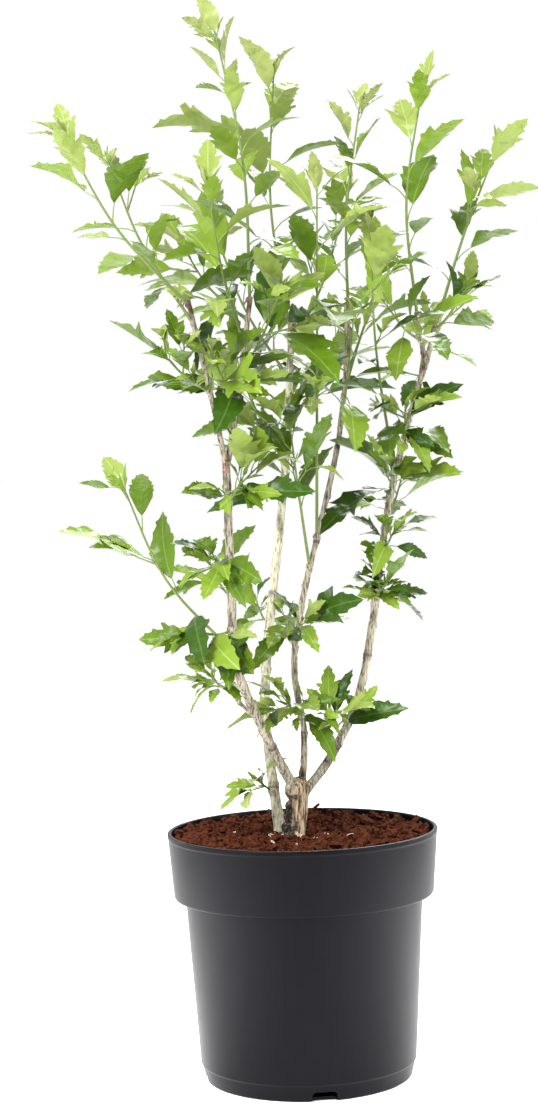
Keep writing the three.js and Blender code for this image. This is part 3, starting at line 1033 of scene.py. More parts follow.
    def build(self) -> None:
        """Builds and dresses the mulch: the bed, the chips, the fibres and the pale roots."""
        self.bed()
        rng = np.random.default_rng(self.seed)
        chips, fibres, roots = Heap(), Heap(), Heap()
        for centre, turn in zip(*self.spread(rng, self.chips, self.chip_margin)):
            self.chip(rng, centre, turn, chips)
        for centre, turn in zip(*self.spread(rng, self.fibres, self.fibre_margin)):
            self.fibre(rng, centre, turn, fibres)
        for _ in range(self.roots):
            self.root(rng, roots)
        dress(chips.piece(), "mulch_chips", self.chip_finishes, ["soil"])
        dress(fibres.piece(), "mulch_fibres", self.chip_finishes, ["soil"])
        dress(roots.piece(), "root_threads", [self.root_finish], [])


class Bark(Enum):
    """Kinds of bark on the woody limbs, as material slots of their piece."""

    STUMP = 0
    BOUGH = 1
    GREY = 2
    STUB = 3
    CUT = 4


@dataclass(frozen=True)
class Limb:
    """A woody limb: the knees that it bends through, its radius at foot and tip, and its root flare."""

    name: str
    knees: tuple[Point, ...]
    radius: Pair
    flare: float = 0.0
    flare_height: float = 14.0
    bark: Bark = Bark.BOUGH

    @property
    def line(self) -> Line:
        """The limb's middle line."""
        return Line(self.knees)

    def radius_at(self, shares: np.ndarray | float, length: float) -> np.ndarray:
        """Gives the limb's radius.

        Args:
            shares: Shares of its length.
            length: Its length.

        Returns:
            Radii in millimetres.
        """
        flare = self.flare * np.exp(-((np.asarray(shares) * length / self.flare_height) ** 2))
        return between(self.radius, np.asarray(shares)) + flare


LIMBS = (
    Limb("trunk", ((-7, -3, 196), (-3, -2, 224), (-1, 0, 255)), (7.2, 9), 5.6, 9, Bark.STUMP),
    Limb(
        "bough_left",
        ((-3, -1, 240), (-29, -25, 296), (-51, -44, 356), (-53, -50, 411), (-54, -55, 529)),
        (4.4, 3.4),
    ),
    Limb(
        "bough_right",
        ((0, 1, 238), (30, 10, 277), (57, 20, 340), (84, 25, 492), (117, 9, 608)),
        (4.2, 2.6),
    ),
    Limb(
        "bough_centre",
        ((0, 2, 238), (4, 7, 290), (-1, 5, 372), (40, 0, 540), (53, 5, 660)),
        (3.1, 2.2),
    ),
    Limb(
        "stem_back",
        ((-17, 12, 194), (-26, 28, 266), (-28, 45, 340), (-7, 60, 507), (4, 60, 650)),
        (5, 2.8),
        2.2,
        14,
        Bark.GREY,
    ),
    Limb("prong_left_outer", ((-54, -54, 520), (-63, -68, 573), (-80, -90, 658)), (2.7, 2)),
    Limb("prong_left_inner", ((-54, -55, 519), (-46, -49, 558), (-30, -40, 661)), (2.9, 2.2)),
    Limb("prong_right_inner", ((116, 10, 600), (112, 0, 624), (108, -13, 646)), (2.4, 1.9)),
    Limb("prong_right_outer", ((115, 11, 598), (125, 20, 632), (133, 29, 654)), (2.5, 2)),
    Limb("twig_left_low", ((-37, -31, 311), (-48, -55, 325), (-58, -75, 341)), (2.1, 1.5)),
)


@dataclass(frozen=True)
class Shoot:
    """A leafy shoot.

    Attributes:
        name: Node of the frame that it stands for.
        limb: Limb that it grows from.
        at: Share of the limb's length that it starts from.
        tip: Tip of its stem.
        bow: How far its middle bows off the straight line.
        bare: Share of its stem below the first leaf.
        nodes: How many leaf nodes it has.
        twiggy: Chance of a side twig at a node.
        blade: Length of its largest blade.
        phase: Compass turn of its first leaf, 0 for +X and 90 for +Y.
    """

    name: str
    limb: str
    at: float
    tip: Point
    bow: Point
    bare: float
    nodes: int
    twiggy: float
    blade: float
    phase: float


SHOOTS = tuple(
    Shoot(*row)
    for row in (
        ("shoot_far_left", "prong_left_outer", 0.95, (-175, -108, 790), (-8, 0, -6), 0.15, 8, 0, 46, 300),
        ("shoot_left_inner", "prong_left_outer", 0.84, (-143, -56, 774), (-8, 4, 0), 0.05, 8, 0.2, 46, 340),
        ("shoot_left_mid", "prong_left_inner", 0.72, (-61, -104, 744), (-3, -6, -4), 0.1, 9, 0.2, 56, 54),
        ("shoot_tall", "prong_left_inner", 0.97, (-53, -22, 881), (9, -10, 0), 0.1, 14, 0.1, 46, 270),
        ("shoot_tall_right", "stem_back", 0.96, (-6, 57, 858), (-10, -4, 0), 0.15, 12, 0.05, 54, 280),
        ("shoot_centre", "bough_centre", 0.52, (27, -68, 746), (0, -12, 0), 0.35, 9, 0.3, 56, 240),
        ("shoot_centre_right", "bough_centre", 0.96, (66, 14, 822), (-6, 2, 0), 0.12, 11, 0.15, 46, 145),
        ("shoot_right_thin", "bough_right", 0.74, (69, -74, 714), (-6, -14, 0), 0.4, 6, 0.2, 44, 250),
        ("shoot_right_tall", "prong_right_inner", 0.92, (117, -25, 830), (-11, -2, 0), 0.12, 8, 0.1, 50, 150),
        ("shoot_far_right", "prong_right_outer", 0.92, (184, 31, 788), (-4, 2, -4), 0.1, 8, 0.1, 44, 180),
        ("shoot_back_left", "stem_back", 0.88, (-66, 118, 742), (-6, 8, -6), 0.1, 8, 0.1, 56, 310),
        ("shoot_back_right", "stem_back", 0.93, (58, 126, 764), (4, 8, -6), 0.1, 8, 0.1, 54, 280),
        ("shoot_low_left", "bough_left", 0.47, (-138, -78, 508), (-10, -4, -8), 0.15, 5, 0, 56, 270),
        ("spray_left_outer", "prong_left_outer", 0.45, (-100, -92, 612), (0, 0, -4), 0.1, 7, 0.25, 40, 270),
        ("spray_left_front", "prong_left_inner", 0.4, (-62, -98, 612), (0, 0, -4), 0.1, 8, 0.4, 56, 140),
        ("spray_left_inner", "prong_left_inner", 0.55, (-4, -86, 664), (0, 0, -6), 0.15, 9, 0.2, 56, 260),
        ("spray_crown_left", "prong_left_inner", 0.86, (-86, 6, 706), (-4, 6, -4), 0.15, 8, 0.3, 56, 160),
        ("spray_back_left", "stem_back", 0.72, (-48, 104, 612), (0, 0, -4), 0.1, 6, 0.1, 56, 340),
        ("spray_back_right", "stem_back", 0.78, (46, 106, 640), (0, 0, -4), 0.1, 6, 0.1, 56, 210),
        ("spray_centre_front", "bough_centre", 0.74, (54, -72, 640), (0, 0, -6), 0.15, 8, 0.2, 54, 140),
        ("spray_centre_low", "bough_centre", 0.46, (-2, -46, 566), (0, -4, -4), 0.35, 8, 0.3, 54, 70),
        ("spray_centre_back", "bough_centre", 0.84, (84, 66, 696), (0, 0, -6), 0.15, 7, 0.1, 52, 90),
        ("spray_right_inner", "prong_right_inner", 0.45, (82, -42, 650), (0, 0, -4), 0.1, 7, 0.2, 46, 300),
        ("spray_right_outer", "prong_right_outer", 0.55, (152, 6, 668), (0, 0, -4), 0.1, 6, 0.2, 38, 270),
        ("spray_right_crown", "bough_right", 0.93, (122, 78, 650), (0, 0, -4), 0.1, 6, 0.2, 42, 100),
        ("spray_right_upper", "bough_right", 0.83, (96, -22, 564), (0, 0, -3), 0.1, 8, 0.35, 48, 190),
        ("spray_right_mid", "bough_right", 0.7, (84, -6, 516), (0, 0, -2), 0.1, 7, 0.2, 52, 220),
        ("spray_right_lower", "bough_right", 0.57, (84, 6, 460), (0, 0, -2), 0.1, 7, 0.15, 38, 210),
        ("spray_right_low", "bough_right", 0.46, (76, 4, 416), (0, 0, -2), 0.1, 7, 0.2, 38, 50),
        ("spray_right_back", "bough_right", 0.64, (96, 72, 506), (0, 0, -4), 0.1, 6, 0.1, 48, 170),
        ("spray_left_upper", "bough_left", 0.88, (-40, -74, 512), (0, 0, -2), 0.1, 7, 0.3, 48, 210),
        ("spray_left_mid", "bough_left", 0.72, (-66, -68, 446), (0, 0, -2), 0.1, 7, 0.2, 40, 260),
        ("spray_left_lower", "bough_left", 0.53, (-74, -80, 386), (0, 0, -2), 0.1, 7, 0.3, 50, 100),
        ("spray_left_back", "bough_left", 0.62, (-72, 0, 440), (0, 0, -4), 0.1, 6, 0.1, 42, 260),
        ("spray_left_twig", "twig_left_low", 0.95, (-70, -84, 350), (0, 0, -2), 0.05, 6, 0.3, 36, 10),
        ("spray_centre_base", "bough_centre", 0.17, (-8, -14, 318), (0, 0, -2), 0.1, 7, 0.3, 45, 110),
        ("spray_basal", "stem_back", 0.1, (-35, 9, 250), (0, 0, 0), 0.5, 2, 0, 52, 215),
        ("spray_centre_stem", "bough_centre", 0.33, (4, -16, 388), (0, 0, -2), 0.1, 6, 0.1, 45, 90),
        ("spray_right_base", "bough_right", 0.16, (25, -22, 312), (0, 0, -4), 0.42, 8, 0.3, 48, 350),
        ("spray_back_low", "stem_back", 0.42, (-34, 80, 398), (0, 0, -4), 0.1, 5, 0.1, 46, 350),
    )
)


@dataclass
class WoodyLimbs:
    """The stump, boughs and pruned prongs as one skin of bark, with fissures, bud scars and cut ends."""

    # The skin: corners and spacing of the rings, and the grain that the limbs are fused at
    sides: int = 20
    ring_gap: float = 2.5
    voxel: float = 0.9
    # The stump: ribs of its root flare, its domed top, and knuckles as middle and radius
    buttresses: int = 3
    buttress_height: float = 16.0
    buttress_depth: float = 0.16
    dome: float = 0.3
    knuckles: tuple[tuple[Point, float], ...] = (
        ((-5.0, -5.0, 246.0), 9.6),
        ((-14.0, -2.0, 203.0), 6.6),
        ((-12.5, -3.0, 213.0), 5.8),
        ((-10.5, -3.5, 223.0), 5.2),
        ((-9.0, -3.0, 231.0), 4.4),
    )
    # Size of the collar that a shoot springs from
    collar: float = 1.25
    # Relief of the bark: depth and level of fissures, then depth of lumps and of wrinkles
    stump_relief: tuple[float, ...] = (0.75, 1.1, 0.9, 0.25)
    limb_relief: tuple[float, ...] = (0.1, 1.0, 0.34, 0.14)
    # Bud scars: their spacing, rise and width, and the turn from each to the next
    scar_gap: float = 21.0
    scar_rise: float = 0.85
    scar_width: float = 2.4
    scar_turn: float = 137.5
    # Pruned ends: length of dry bark, and depth and facing of the cut
    stub_length: float = 15.0
    cut_depth: float = 3.0
    cut_facing: float = 0.75
    # Dark places: the rotten side, painted shade in the crease under the knuckle and round the fork, the
    # darker foot, smudges and bud rings
    rot_edge: float = -6.5
    rot_top: float = 239.0
    crease: tuple[Point, Point] = ((-13.5, -10.0, 242.0), (-1.5, -12.5, 234.0))
    crease_width: float = 1.7
    foot_top: float = 208.0
    foot_darkening: float = 0.6
    fork: Point = (0.0, 0.0, 256.0)
    fork_reach: float = 7.0
    fork_shade: float = 0.7
    smudge_stain: float = 0.6
    ring_stain: float = 0.65
    ring_every: int = 4
    finishes: tuple[Fibrous, ...] = (
        Fibrous("stump_bark", "#b29e80", "#3a2a20", 1.9, 7.0, 0.52, 0.8, stain_and_shade="#120c08"),
        Fibrous("bough_bark", "#aca390", "#463f33", 1.4, 8.0, 0.48, 0.4, stain_and_shade="#261e17"),
        Fibrous("lichened_bark", "#c2bca6", "#757159", 1.6, 6.0, 0.42, 0.4, stain_and_shade="#35342a"),
        Fibrous("dry_stub_bark", "#94796a", "#5e463c", 1.8, 6.0, 0.5, 0.3, stain_and_shade="#30231d"),
        Fibrous("cut_wood", "#b89f80", "#7f634a", 1.2, 1.0, 0.45, 0.2),
    )

    def rolled(self, limb: Limb) -> bpy.types.Object:
        """Rolls a grid round a limb's line and closes its ends.

        Args:
            limb: The limb.

        Returns:
            The limb as a closed tube.
        """
        line = limb.line
        deselect()
        rings = max(6, round(line.length / self.ring_gap))
        bpy.ops.mesh.primitive_grid_add(x_subdivisions=self.sides, y_subdivisions=rings, size=1)
        obj = bpy.context.object
        flat = places(obj)
        shares, ring = np.unique(np.round(flat[:, 1] + 0.5, 6), return_inverse=True)
        centres, firsts, seconds = line.frames(shares)
        angle = 2 * math.pi * (flat[:, 0] + 0.5)
        radius = limb.radius_at(shares, line.length)[ring]
        buttress = np.exp(-shares[ring] * line.length / self.buttress_height) * (limb.flare > 0)
        radius *= 1 + self.buttress_depth * buttress * np.cos(self.buttresses * angle + 0.6)
        if limb.bark is Bark.STUMP:
            radius *= np.sqrt(1 - 0.9 * np.clip((shares[ring] - 1 + self.dome) / self.dome, 0, 1) ** 2)
        spokes = firsts[ring] * np.cos(angle)[:, None] + seconds[ring] * np.sin(angle)[:, None]
        put(obj, (centres[ring] + spokes * radius[:, None]) * MM)
        bpy.ops.object.mode_set(mode="EDIT")
        bpy.ops.mesh.select_all(action="SELECT")
        bpy.ops.mesh.remove_doubles(threshold=0.02 * MM)
        bpy.ops.mesh.fill_holes(sides=0)
        bpy.ops.mesh.normals_make_consistent(inside=False)
        bpy.ops.object.mode_set(mode="OBJECT")
        return obj

    def lump(self, centre: np.ndarray, radius: float) -> bpy.types.Object:
        """Makes a rounded lump.

        Args:
            centre: Its middle in millimetres.
            radius: Its radius in millimetres.

        Returns:
            The lump.
        """
        deselect()
        bpy.ops.mesh.primitive_uv_sphere_add(
            segments=14, ring_count=8, radius=radius * MM, location=np.asarray(centre) * MM
        )
        bpy.ops.object.transform_apply(location=True, rotation=True, scale=True)
        return bpy.context.object

    def swelling(self, shoot: Shoot, limbs: Mapping[str, Limb]) -> bpy.types.Object:
        """Makes the swollen collar that a shoot springs from.

        Args:
            shoot: The shoot.
            limbs: Every limb by name.

        Returns:
            A rounded lump on the limb.
        """
        limb = limbs[shoot.limb]
        line = limb.line
        foot, axis = line.at(shoot.at), line.tangent(shoot.at)
        radius = float(limb.radius_at(shoot.at, line.length))
        out = square_to(np.array(shoot.tip) - foot, axis)
        size = max(2.2, radius * 0.72) * self.collar
        return self.lump(foot + out * (radius + 0.6 - size * 0.55) + axis * 1.5, size)

    def nearest(self, points: np.ndarray) -> tuple[np.ndarray, np.ndarray, np.ndarray]:
        """Finds the limb that each point lies on.

        Args:
            points: Points in millimetres.

        Returns:
            Number of the limb, distance along it, and turn about its line in radians.
        """
        best = np.full(len(points), np.inf)
        owner, along, turn = (np.zeros(len(points)) for _ in range(3))
        for number, limb in enumerate(LIMBS):
            line = limb.line
            shares = np.linspace(0, 1, max(8, round(line.length / 3)))
            centres, firsts, seconds = line.frames(shares)
            radii = limb.radius_at(shares, line.length)
            gaps = np.linalg.norm(points[:, None] - centres[None], axis=2) - radii
            step = gaps.argmin(1)
            gap = gaps[np.arange(len(points)), step]
            mine = gap < best
            off = points - centres[step]
            angle = np.arctan2((off * seconds[step]).sum(1), (off * firsts[step]).sum(1))
            best = np.where(mine, gap, best)
            owner = np.where(mine, number, owner)
            along = np.where(mine, shares[step] * line.length, along)
            turn = np.where(mine, angle, turn)
        return owner.astype(int), along, turn

    def carve(self, obj: bpy.types.Object) -> None:
        """Gives the skin its fissures, wrinkles and bud scars.

        Args:
            obj: The smooth joined limbs.
        """
        points = places(obj) / MM
        normals = np.empty(len(points) * 3, np.float32)
        obj.data.vertices.foreach_get("normal", normals)
        owner, along, turn = self.nearest(points)
        rise = np.zeros(len(points))
        for number, limb in enumerate(LIMBS):
            on = np.flatnonzero(owner == number)
            rough = limb.bark is Bark.STUMP
            deep, level, lumpy, wrinkled = self.stump_relief if rough else self.limb_relief
            for i in on:
                x, y, z = points[i]
                fissure = noise.ridged_multi_fractal(Vector((x / 5, y / 5, z / 17)), 0.9, 2.0, 3, 1.0, 2.0)
                lump = noise.noise(Vector((x / 11, y / 11, z / 16 + number)))
                wrinkle = noise.noise(Vector((x / 1.6, y / 1.6, z / 9)))
                rise[i] = deep * (fissure - level) + lumpy * lump + wrinkled * wrinkle
            if not rough:
                rise[on] += self.scars(number, limb, along[on], turn[on])
        put(obj, (points + normals.reshape(-1, 3) * rise[:, None]) * MM)

    def scars(self, number: int, limb: Limb, along: np.ndarray, turn: np.ndarray) -> np.ndarray:
        """Works out the rise of the bud scars on a limb.

        Args:
            number: Number of the limb.
            limb: The limb.
            along: Distances along it.
            turn: Turns about its line.

        Returns:
            Rises in millimetres.
        """
        rise = np.zeros(len(along))
        length = limb.line.length
        radius = limb.radius_at(along / length, length)
        for k in range(int(length / self.scar_gap)):
            middle = (k + 0.3 + 0.4 * chance(number, k, Draw.SCAR_PLACE)) * self.scar_gap
            toward = math.radians(k * self.scar_turn) + chance(number, k, Draw.SCAR_TURN)
            round_off = (np.mod(turn - toward + math.pi, 2 * math.pi) - math.pi) * radius
            spread = np.exp(-(((along - middle) / self.scar_width) ** 2))
            knob = np.exp(-((round_off / (self.scar_width * 1.1)) ** 2))
            rise += spread * (0.22 + self.scar_rise * knob)
        return rise

    def darken(self, obj: bpy.types.Object) -> None:
        """Marks the dark bark: rot, smudges and bud rings, and painted shade in the crease under the knuckle
        and round the fork.

        Args:
            obj: The carved limbs.
        """
        points = places(obj) / MM
        owner, along, _ = self.nearest(points)
        broad = np.array([noise.noise(Vector(point / 6)) for point in points])
        fine = np.array([noise.noise(Vector(point / 1.3)) for point in points])
        smudge = np.array([noise.noise(Vector(point / (8, 8, 26))) for point in points])
        x, y, z = points.T
        stump = owner == [limb.bark for limb in LIMBS].index(Bark.STUMP)
        rot = np.clip((self.rot_edge - x - 0.2 * y + 5 * broad) / 3, 0, 1)
        rot *= np.clip((self.rot_top - z + 6 * broad) / 8, 0, 1) * stump
        # Painted shade along the crease under the knuckle
        start, end = (np.array(point) for point in self.crease)
        share = np.clip((points - start) @ (end - start) / np.sum((end - start) ** 2), 0, 1)
        away = np.linalg.norm(points - start - np.outer(share, end - start), axis=1)
        crease = np.exp(-((away / self.crease_width) ** 2))
        # The stump is darker towards its foot, by the mulch
        foot = self.foot_darkening * np.clip((self.foot_top + 3 * broad - z) / 5, 0, 1)
        # Painted shade round the fork where the boughs part
        fork_away = np.linalg.norm(points - self.fork, axis=1)
        fork = self.fork_shade * np.clip(1.4 - fork_away / self.fork_reach, 0, 1)
        worn = np.clip(1.6 * (smudge - 0.12), 0, self.smudge_stain) * ~stump
        ring = np.abs(np.mod(along / self.scar_gap - 0.5, self.ring_every) - 2) * self.scar_gap
        worn += self.ring_stain * np.exp(-(((ring - 2 * broad) / 3) ** 2)) * ~stump
        marks = np.maximum.reduce([rot, crease, foot, fork, worn])
        marks = np.clip(marks * (1 + 0.7 * fine), 0, 1)
        layer = obj.data.attributes.new(STAIN_AND_SHADE, "FLOAT", "POINT")
        layer.data.foreach_set("value", marks.astype(np.float32))

    def deal_bark(self, obj: bpy.types.Object) -> None:
        """Gives each face the bark of its limb, and the pruned ends their cut wood.

        Args:
            obj: The carved limbs.
        """
        mesh = obj.data
        middles = np.empty(len(mesh.polygons) * 3, np.float32)
        mesh.polygons.foreach_get("center", middles)
        normals = np.empty(len(mesh.polygons) * 3, np.float32)
        mesh.polygons.foreach_get("normal", normals)
        owner, along, _ = self.nearest(middles.reshape(-1, 3) / MM)
        tones = np.array([limb.bark.value for limb in LIMBS])[owner]
        for number, limb in enumerate(LIMBS[1:], 1):
            line = limb.line
            here = owner == number
            tones[here & (along > line.length - self.stub_length)] = Bark.STUB.value
            facing = normals.reshape(-1, 3) @ line.tangent(1.0)
            end = along > line.length - self.cut_depth
            tones[here & end & (facing > self.cut_facing)] = Bark.CUT.value
        mesh.polygons.foreach_set("material_index", tones.astype(np.int32))

    def build(self) -> None:
        """Builds and dresses the wood."""
        limbs = {limb.name: limb for limb in LIMBS}
        parts = [self.rolled(limb) for limb in LIMBS]
        parts += [self.swelling(shoot, limbs) for shoot in SHOOTS]
        parts += [self.lump(np.array(centre), radius) for centre, radius in self.knuckles]
        select(*parts)
        bpy.ops.object.join()
        wood = bpy.context.object
        apply_modifier(wood, "REMESH", mode="VOXEL", voxel_size=self.voxel * MM)
        apply_modifier(wood, "SMOOTH", factor=0.5, iterations=5)
        self.carve(wood)
        select(wood)
        bpy.ops.object.shade_smooth()
        dress(wood, "woody_limbs", self.finishes, [limb.name for limb in LIMBS])
        self.deal_bark(wood)
        self.darken(wood)


class LeafForm(Enum):
    """Half outlines of a leaf, in shares of its blade across and along: the smooth edge of the wedge at its
    foot, then each blunt tooth and the notch after it."""

    LOBED = (
        ((0.078, 0.08), (0.152, 0.2), (0.212, 0.33)),
        (
            (0.268, 0.44, 0.248, 0.485),
            (0.33, 0.595, 0.166, 0.572),
            (0.2, 0.73, 0.15, 0.77),
            (0.128, 0.87, 0.08, 0.905),
        ),
    )
    OVATE = (
        ((0.084, 0.08), (0.162, 0.2), (0.212, 0.32)),
        (
            (0.25, 0.445, 0.222, 0.487),
            (0.24, 0.585, 0.194, 0.628),
            (0.196, 0.728, 0.145, 0.766),
            (0.126, 0.868, 0.074, 0.902),
        ),
    )
    NARROW = (
        ((0.09, 0.2), (0.14, 0.38)),
        ((0.15, 0.54, 0.11, 0.58), (0.1, 0.78, 0.07, 0.82)),
    )


class LeafAge(Enum):
    """Ages of a leaf, oldest first: tone of its upper face, of its under face and of its veins."""

    MATURE = ("#2c480a", "#607634", "#567032")
    FULL = ("#4c6613", "#7c9448", "#728a42")
    MID = ("#6a8326", "#a0b274", "#94a860")
    FRESH = ("#7c8d42", "#aeb68a", "#a2ae72")
    LIME = ("#869250", "#b0ba92", "#a8b482")


@dataclass
class Leaf:
    """A leaf in its place: the frame of its blade, its size and how it bends and folds."""

    # Ripples from foot to tip in radians, how far the two sides are out of step, and the half width they
    # are full at
    RIPPLES = 10
    OUT_OF_STEP = 2.4
    RIPPLED = 0.3

    foot: np.ndarray
    base: np.ndarray
    forward: np.ndarray
    side: np.ndarray
    face: np.ndarray
    length: float
    bend: float
    fold: float
    # Where the ripples of its rim start and how deep they are, then its twist, sideways curve and width
    wave: float = 0.0
    ripple: float = 0.0
    twist: float = 0.0
    sickle: float = 0.0
    breadth: float = 1.0
    form: LeafForm = LeafForm.OVATE
    age: LeafAge = LeafAge.MID

    def at(self, along: np.ndarray, across: np.ndarray, off: np.ndarray | float = 0.0) -> np.ndarray:
        """Gives points on the blade.

        Args:
            along: Shares of its length along the midrib.
            across: Shares of its length across it.
            off: Distance off its face in millimetres.

        Returns:
            Points in millimetres, one row each.
        """
        rise = self.fold * np.abs(across) - self.bend * along**2 + self.twist * across * along
        swing = np.sin(self.RIPPLES * along + self.wave + self.OUT_OF_STEP * np.sign(across))
        rise = rise + self.ripple * swing * (across / self.RIPPLED) ** 2
        aside = across + self.sickle * along**2
        return (
            self.base
            + np.multiply.outer(along * self.length, self.forward)
            + np.multiply.outer(aside * self.length, self.side)
            + np.multiply.outer(rise * self.length + off, self.face)
        )

    def samples(self) -> np.ndarray:
        """Gives points spread over the leaf and its stalk, for keeping it clear of others."""
        along = np.repeat([0.1, 0.3, 0.5, 0.7, 0.95], 3)
        half = 0.32 * np.sin(np.pi * along**1.25)
        flat = replace(self, wave=0.0, ripple=0.0, twist=0.0, sickle=0.0)
        blade = flat.at(along, half * np.tile([-1, 0, 1], 5))
        return np.vstack([self.base + 0.4 * (self.foot - self.base), blade])


class LeafMesh:
    """The faces of a leaf of one form: a closed thin blade of two sheets that meet at the toothed rim."""

    # Name of the map, and width of one face's half of it
    MAP = "OFBake"
    TILE = 0.5
    # How far towards the foot each rim point joins the midrib, for each step outwards
    SWEEP = 0.55
    # Thickness in millimetres
    THICKNESS = 0.5
    # How unlike each other the teeth of one leaf are
    UNEVEN = 0.07
    # How far before and after its point a tooth is rounded, in shares of the blade
    SHOULDER = 0.048
    BLUNT = 0.014

    def __init__(self, form: LeafForm) -> None:
        """Works out the outline and its faces.

        Args:
            form: Outline of the leaf.
        """
        edge, teeth = form.value
        half = [(0.012, 0.0), *edge]
        for across, along, notch_across, notch_along in teeth:
            half.append((across * 0.955, along - self.SHOULDER))
            half.append((across * 0.985, along + self.BLUNT))
            half.append((notch_across, notch_along))
        across, along = np.array(half).T
        count = len(half)
        spine = np.maximum.accumulate(np.clip(along - self.SWEEP * across, 0, 1))
        self.across = np.concatenate([across, -across, np.zeros(2 + 2 * count)])
        self.along = np.concatenate([along, along, [1.0, -0.012], spine, spine])
        self.off = np.concatenate([np.zeros(2 * count + 2), np.full(count, 0.5), np.full(count, -0.5)])
        tip, foot, top, under = 2 * count, 2 * count + 1, 2 * count + 2, 3 * count + 2
        last = count - 1
        faces = []
        tones = []
        for tone, middle in ((0, top), (1, under)):
            sheet = [(0, middle, count, foot), (last, tip, count + last, middle + last)]
            for i in range(last):
                right, left, rib = i, count + i, middle + i
                sheet.append((right, right + 1, rib + 1, rib))
                sheet.append((left, rib, rib + 1, left + 1))
            faces += sheet if tone == 0 else [face[::-1] for face in sheet]
            tones += [tone] * len(sheet)
        self.faces = np.array(faces)
        self.tones = np.array(tones)
        spots = np.column_stack([(0.5 + self.across) * self.TILE, self.along])[self.faces]
        spots[:, :, 0] += self.tones[:, None] * self.TILE
        self.spots = spots

    def add(self, leaf: Leaf, heap: Heap) -> None:
        """Adds a leaf's blade to a heap.

        Args:
            leaf: The leaf.
            heap: Heap that takes it.
        """
        uneven = 1 + self.UNEVEN * np.sin(leaf.wave * 7.3 + 2.7 * np.arange(len(self.across)))
        points = leaf.at(self.along, self.across * uneven * leaf.breadth, self.off * self.THICKNESS)
        heap.add(points, self.faces, self.tones, self.spots)


@dataclass
class Node:
    """A place on a stem that bears a leaf."""

    key: int
    share: float
    foot: np.ndarray
    axis: np.ndarray
    azimuth: float
    blade: float


@dataclass
class Stem:
    """A green stem: the line it follows, its radius at foot and tip, and whether it is young."""

    line: Line
    radii: Pair
    young: bool


class Room:
    """Room in the crown: what each new twig or leaf of a shoot has to stay clear of."""

    # Samples by a piece's foot, which may come near other pieces of its own shoot
    ROOT_SAMPLES = 4
    # Spacing of the samples along wood and stems, in millimetres
    GAP = 5.0

    def __init__(self, limbs: Iterable[Limb], stems: Sequence[Line], radii: Pair) -> None:
        """Fills the room with the wood and the green stems.

        Args:
            limbs: The woody limbs.
            stems: Lines of the shoots' stems.
            radii: Radius of a shoot at foot and tip.
        """
        wood = []
        for limb in limbs:
            shares = np.linspace(0, 1, math.ceil(limb.line.length / self.GAP) + 1)
            wood.append(np.column_stack([limb.line.at(shares), limb.radius_at(shares, limb.line.length)]))
        self.wood = np.vstack(wood)
        green = []
        for number, line in enumerate(stems):
            shares = np.linspace(0, 1, math.ceil(line.length / self.GAP) + 1)
            owner = np.full(len(shares), number)
            green.append(np.column_stack([line.at(shares), between(radii, shares), owner]))
        self.green = np.vstack(green)
        self.taken = np.zeros((0, 3))
        self.owner = np.zeros(0, int)

    def add(self, number: int, samples: np.ndarray, clear: float) -> bool:
        """Takes the room of a piece if it is free.

        Args:
            number: Number of the shoot that the piece grows on.
            samples: Points spread over the piece.
            clear: Least distance to other shoots' points.

        Returns:
            Whether there was room.
        """

        def gaps(points: np.ndarray) -> np.ndarray:
            """Gives the distance of every sample to every point."""
            return np.linalg.norm(samples[:, None] - points[None], axis=2)

        if (gaps(self.wood[:, :3])[1:] < clear / 2 + self.wood[:, 3]).any():
            return False
        others = self.green[self.green[:, 4] != number]
        if (gaps(others[:, :3]) < clear / 2 + others[:, 3]).any():
            return False
        near = gaps(self.taken)
        if (near[:, self.owner != number] < clear).any():
            return False
        if (near[self.ROOT_SAMPLES :, self.owner == number] < clear / 2).any():
            return False
        self.taken = np.vstack([self.taken, samples])
        self.owner = np.concatenate([self.owner, np.full(len(samples), number)])
        return True


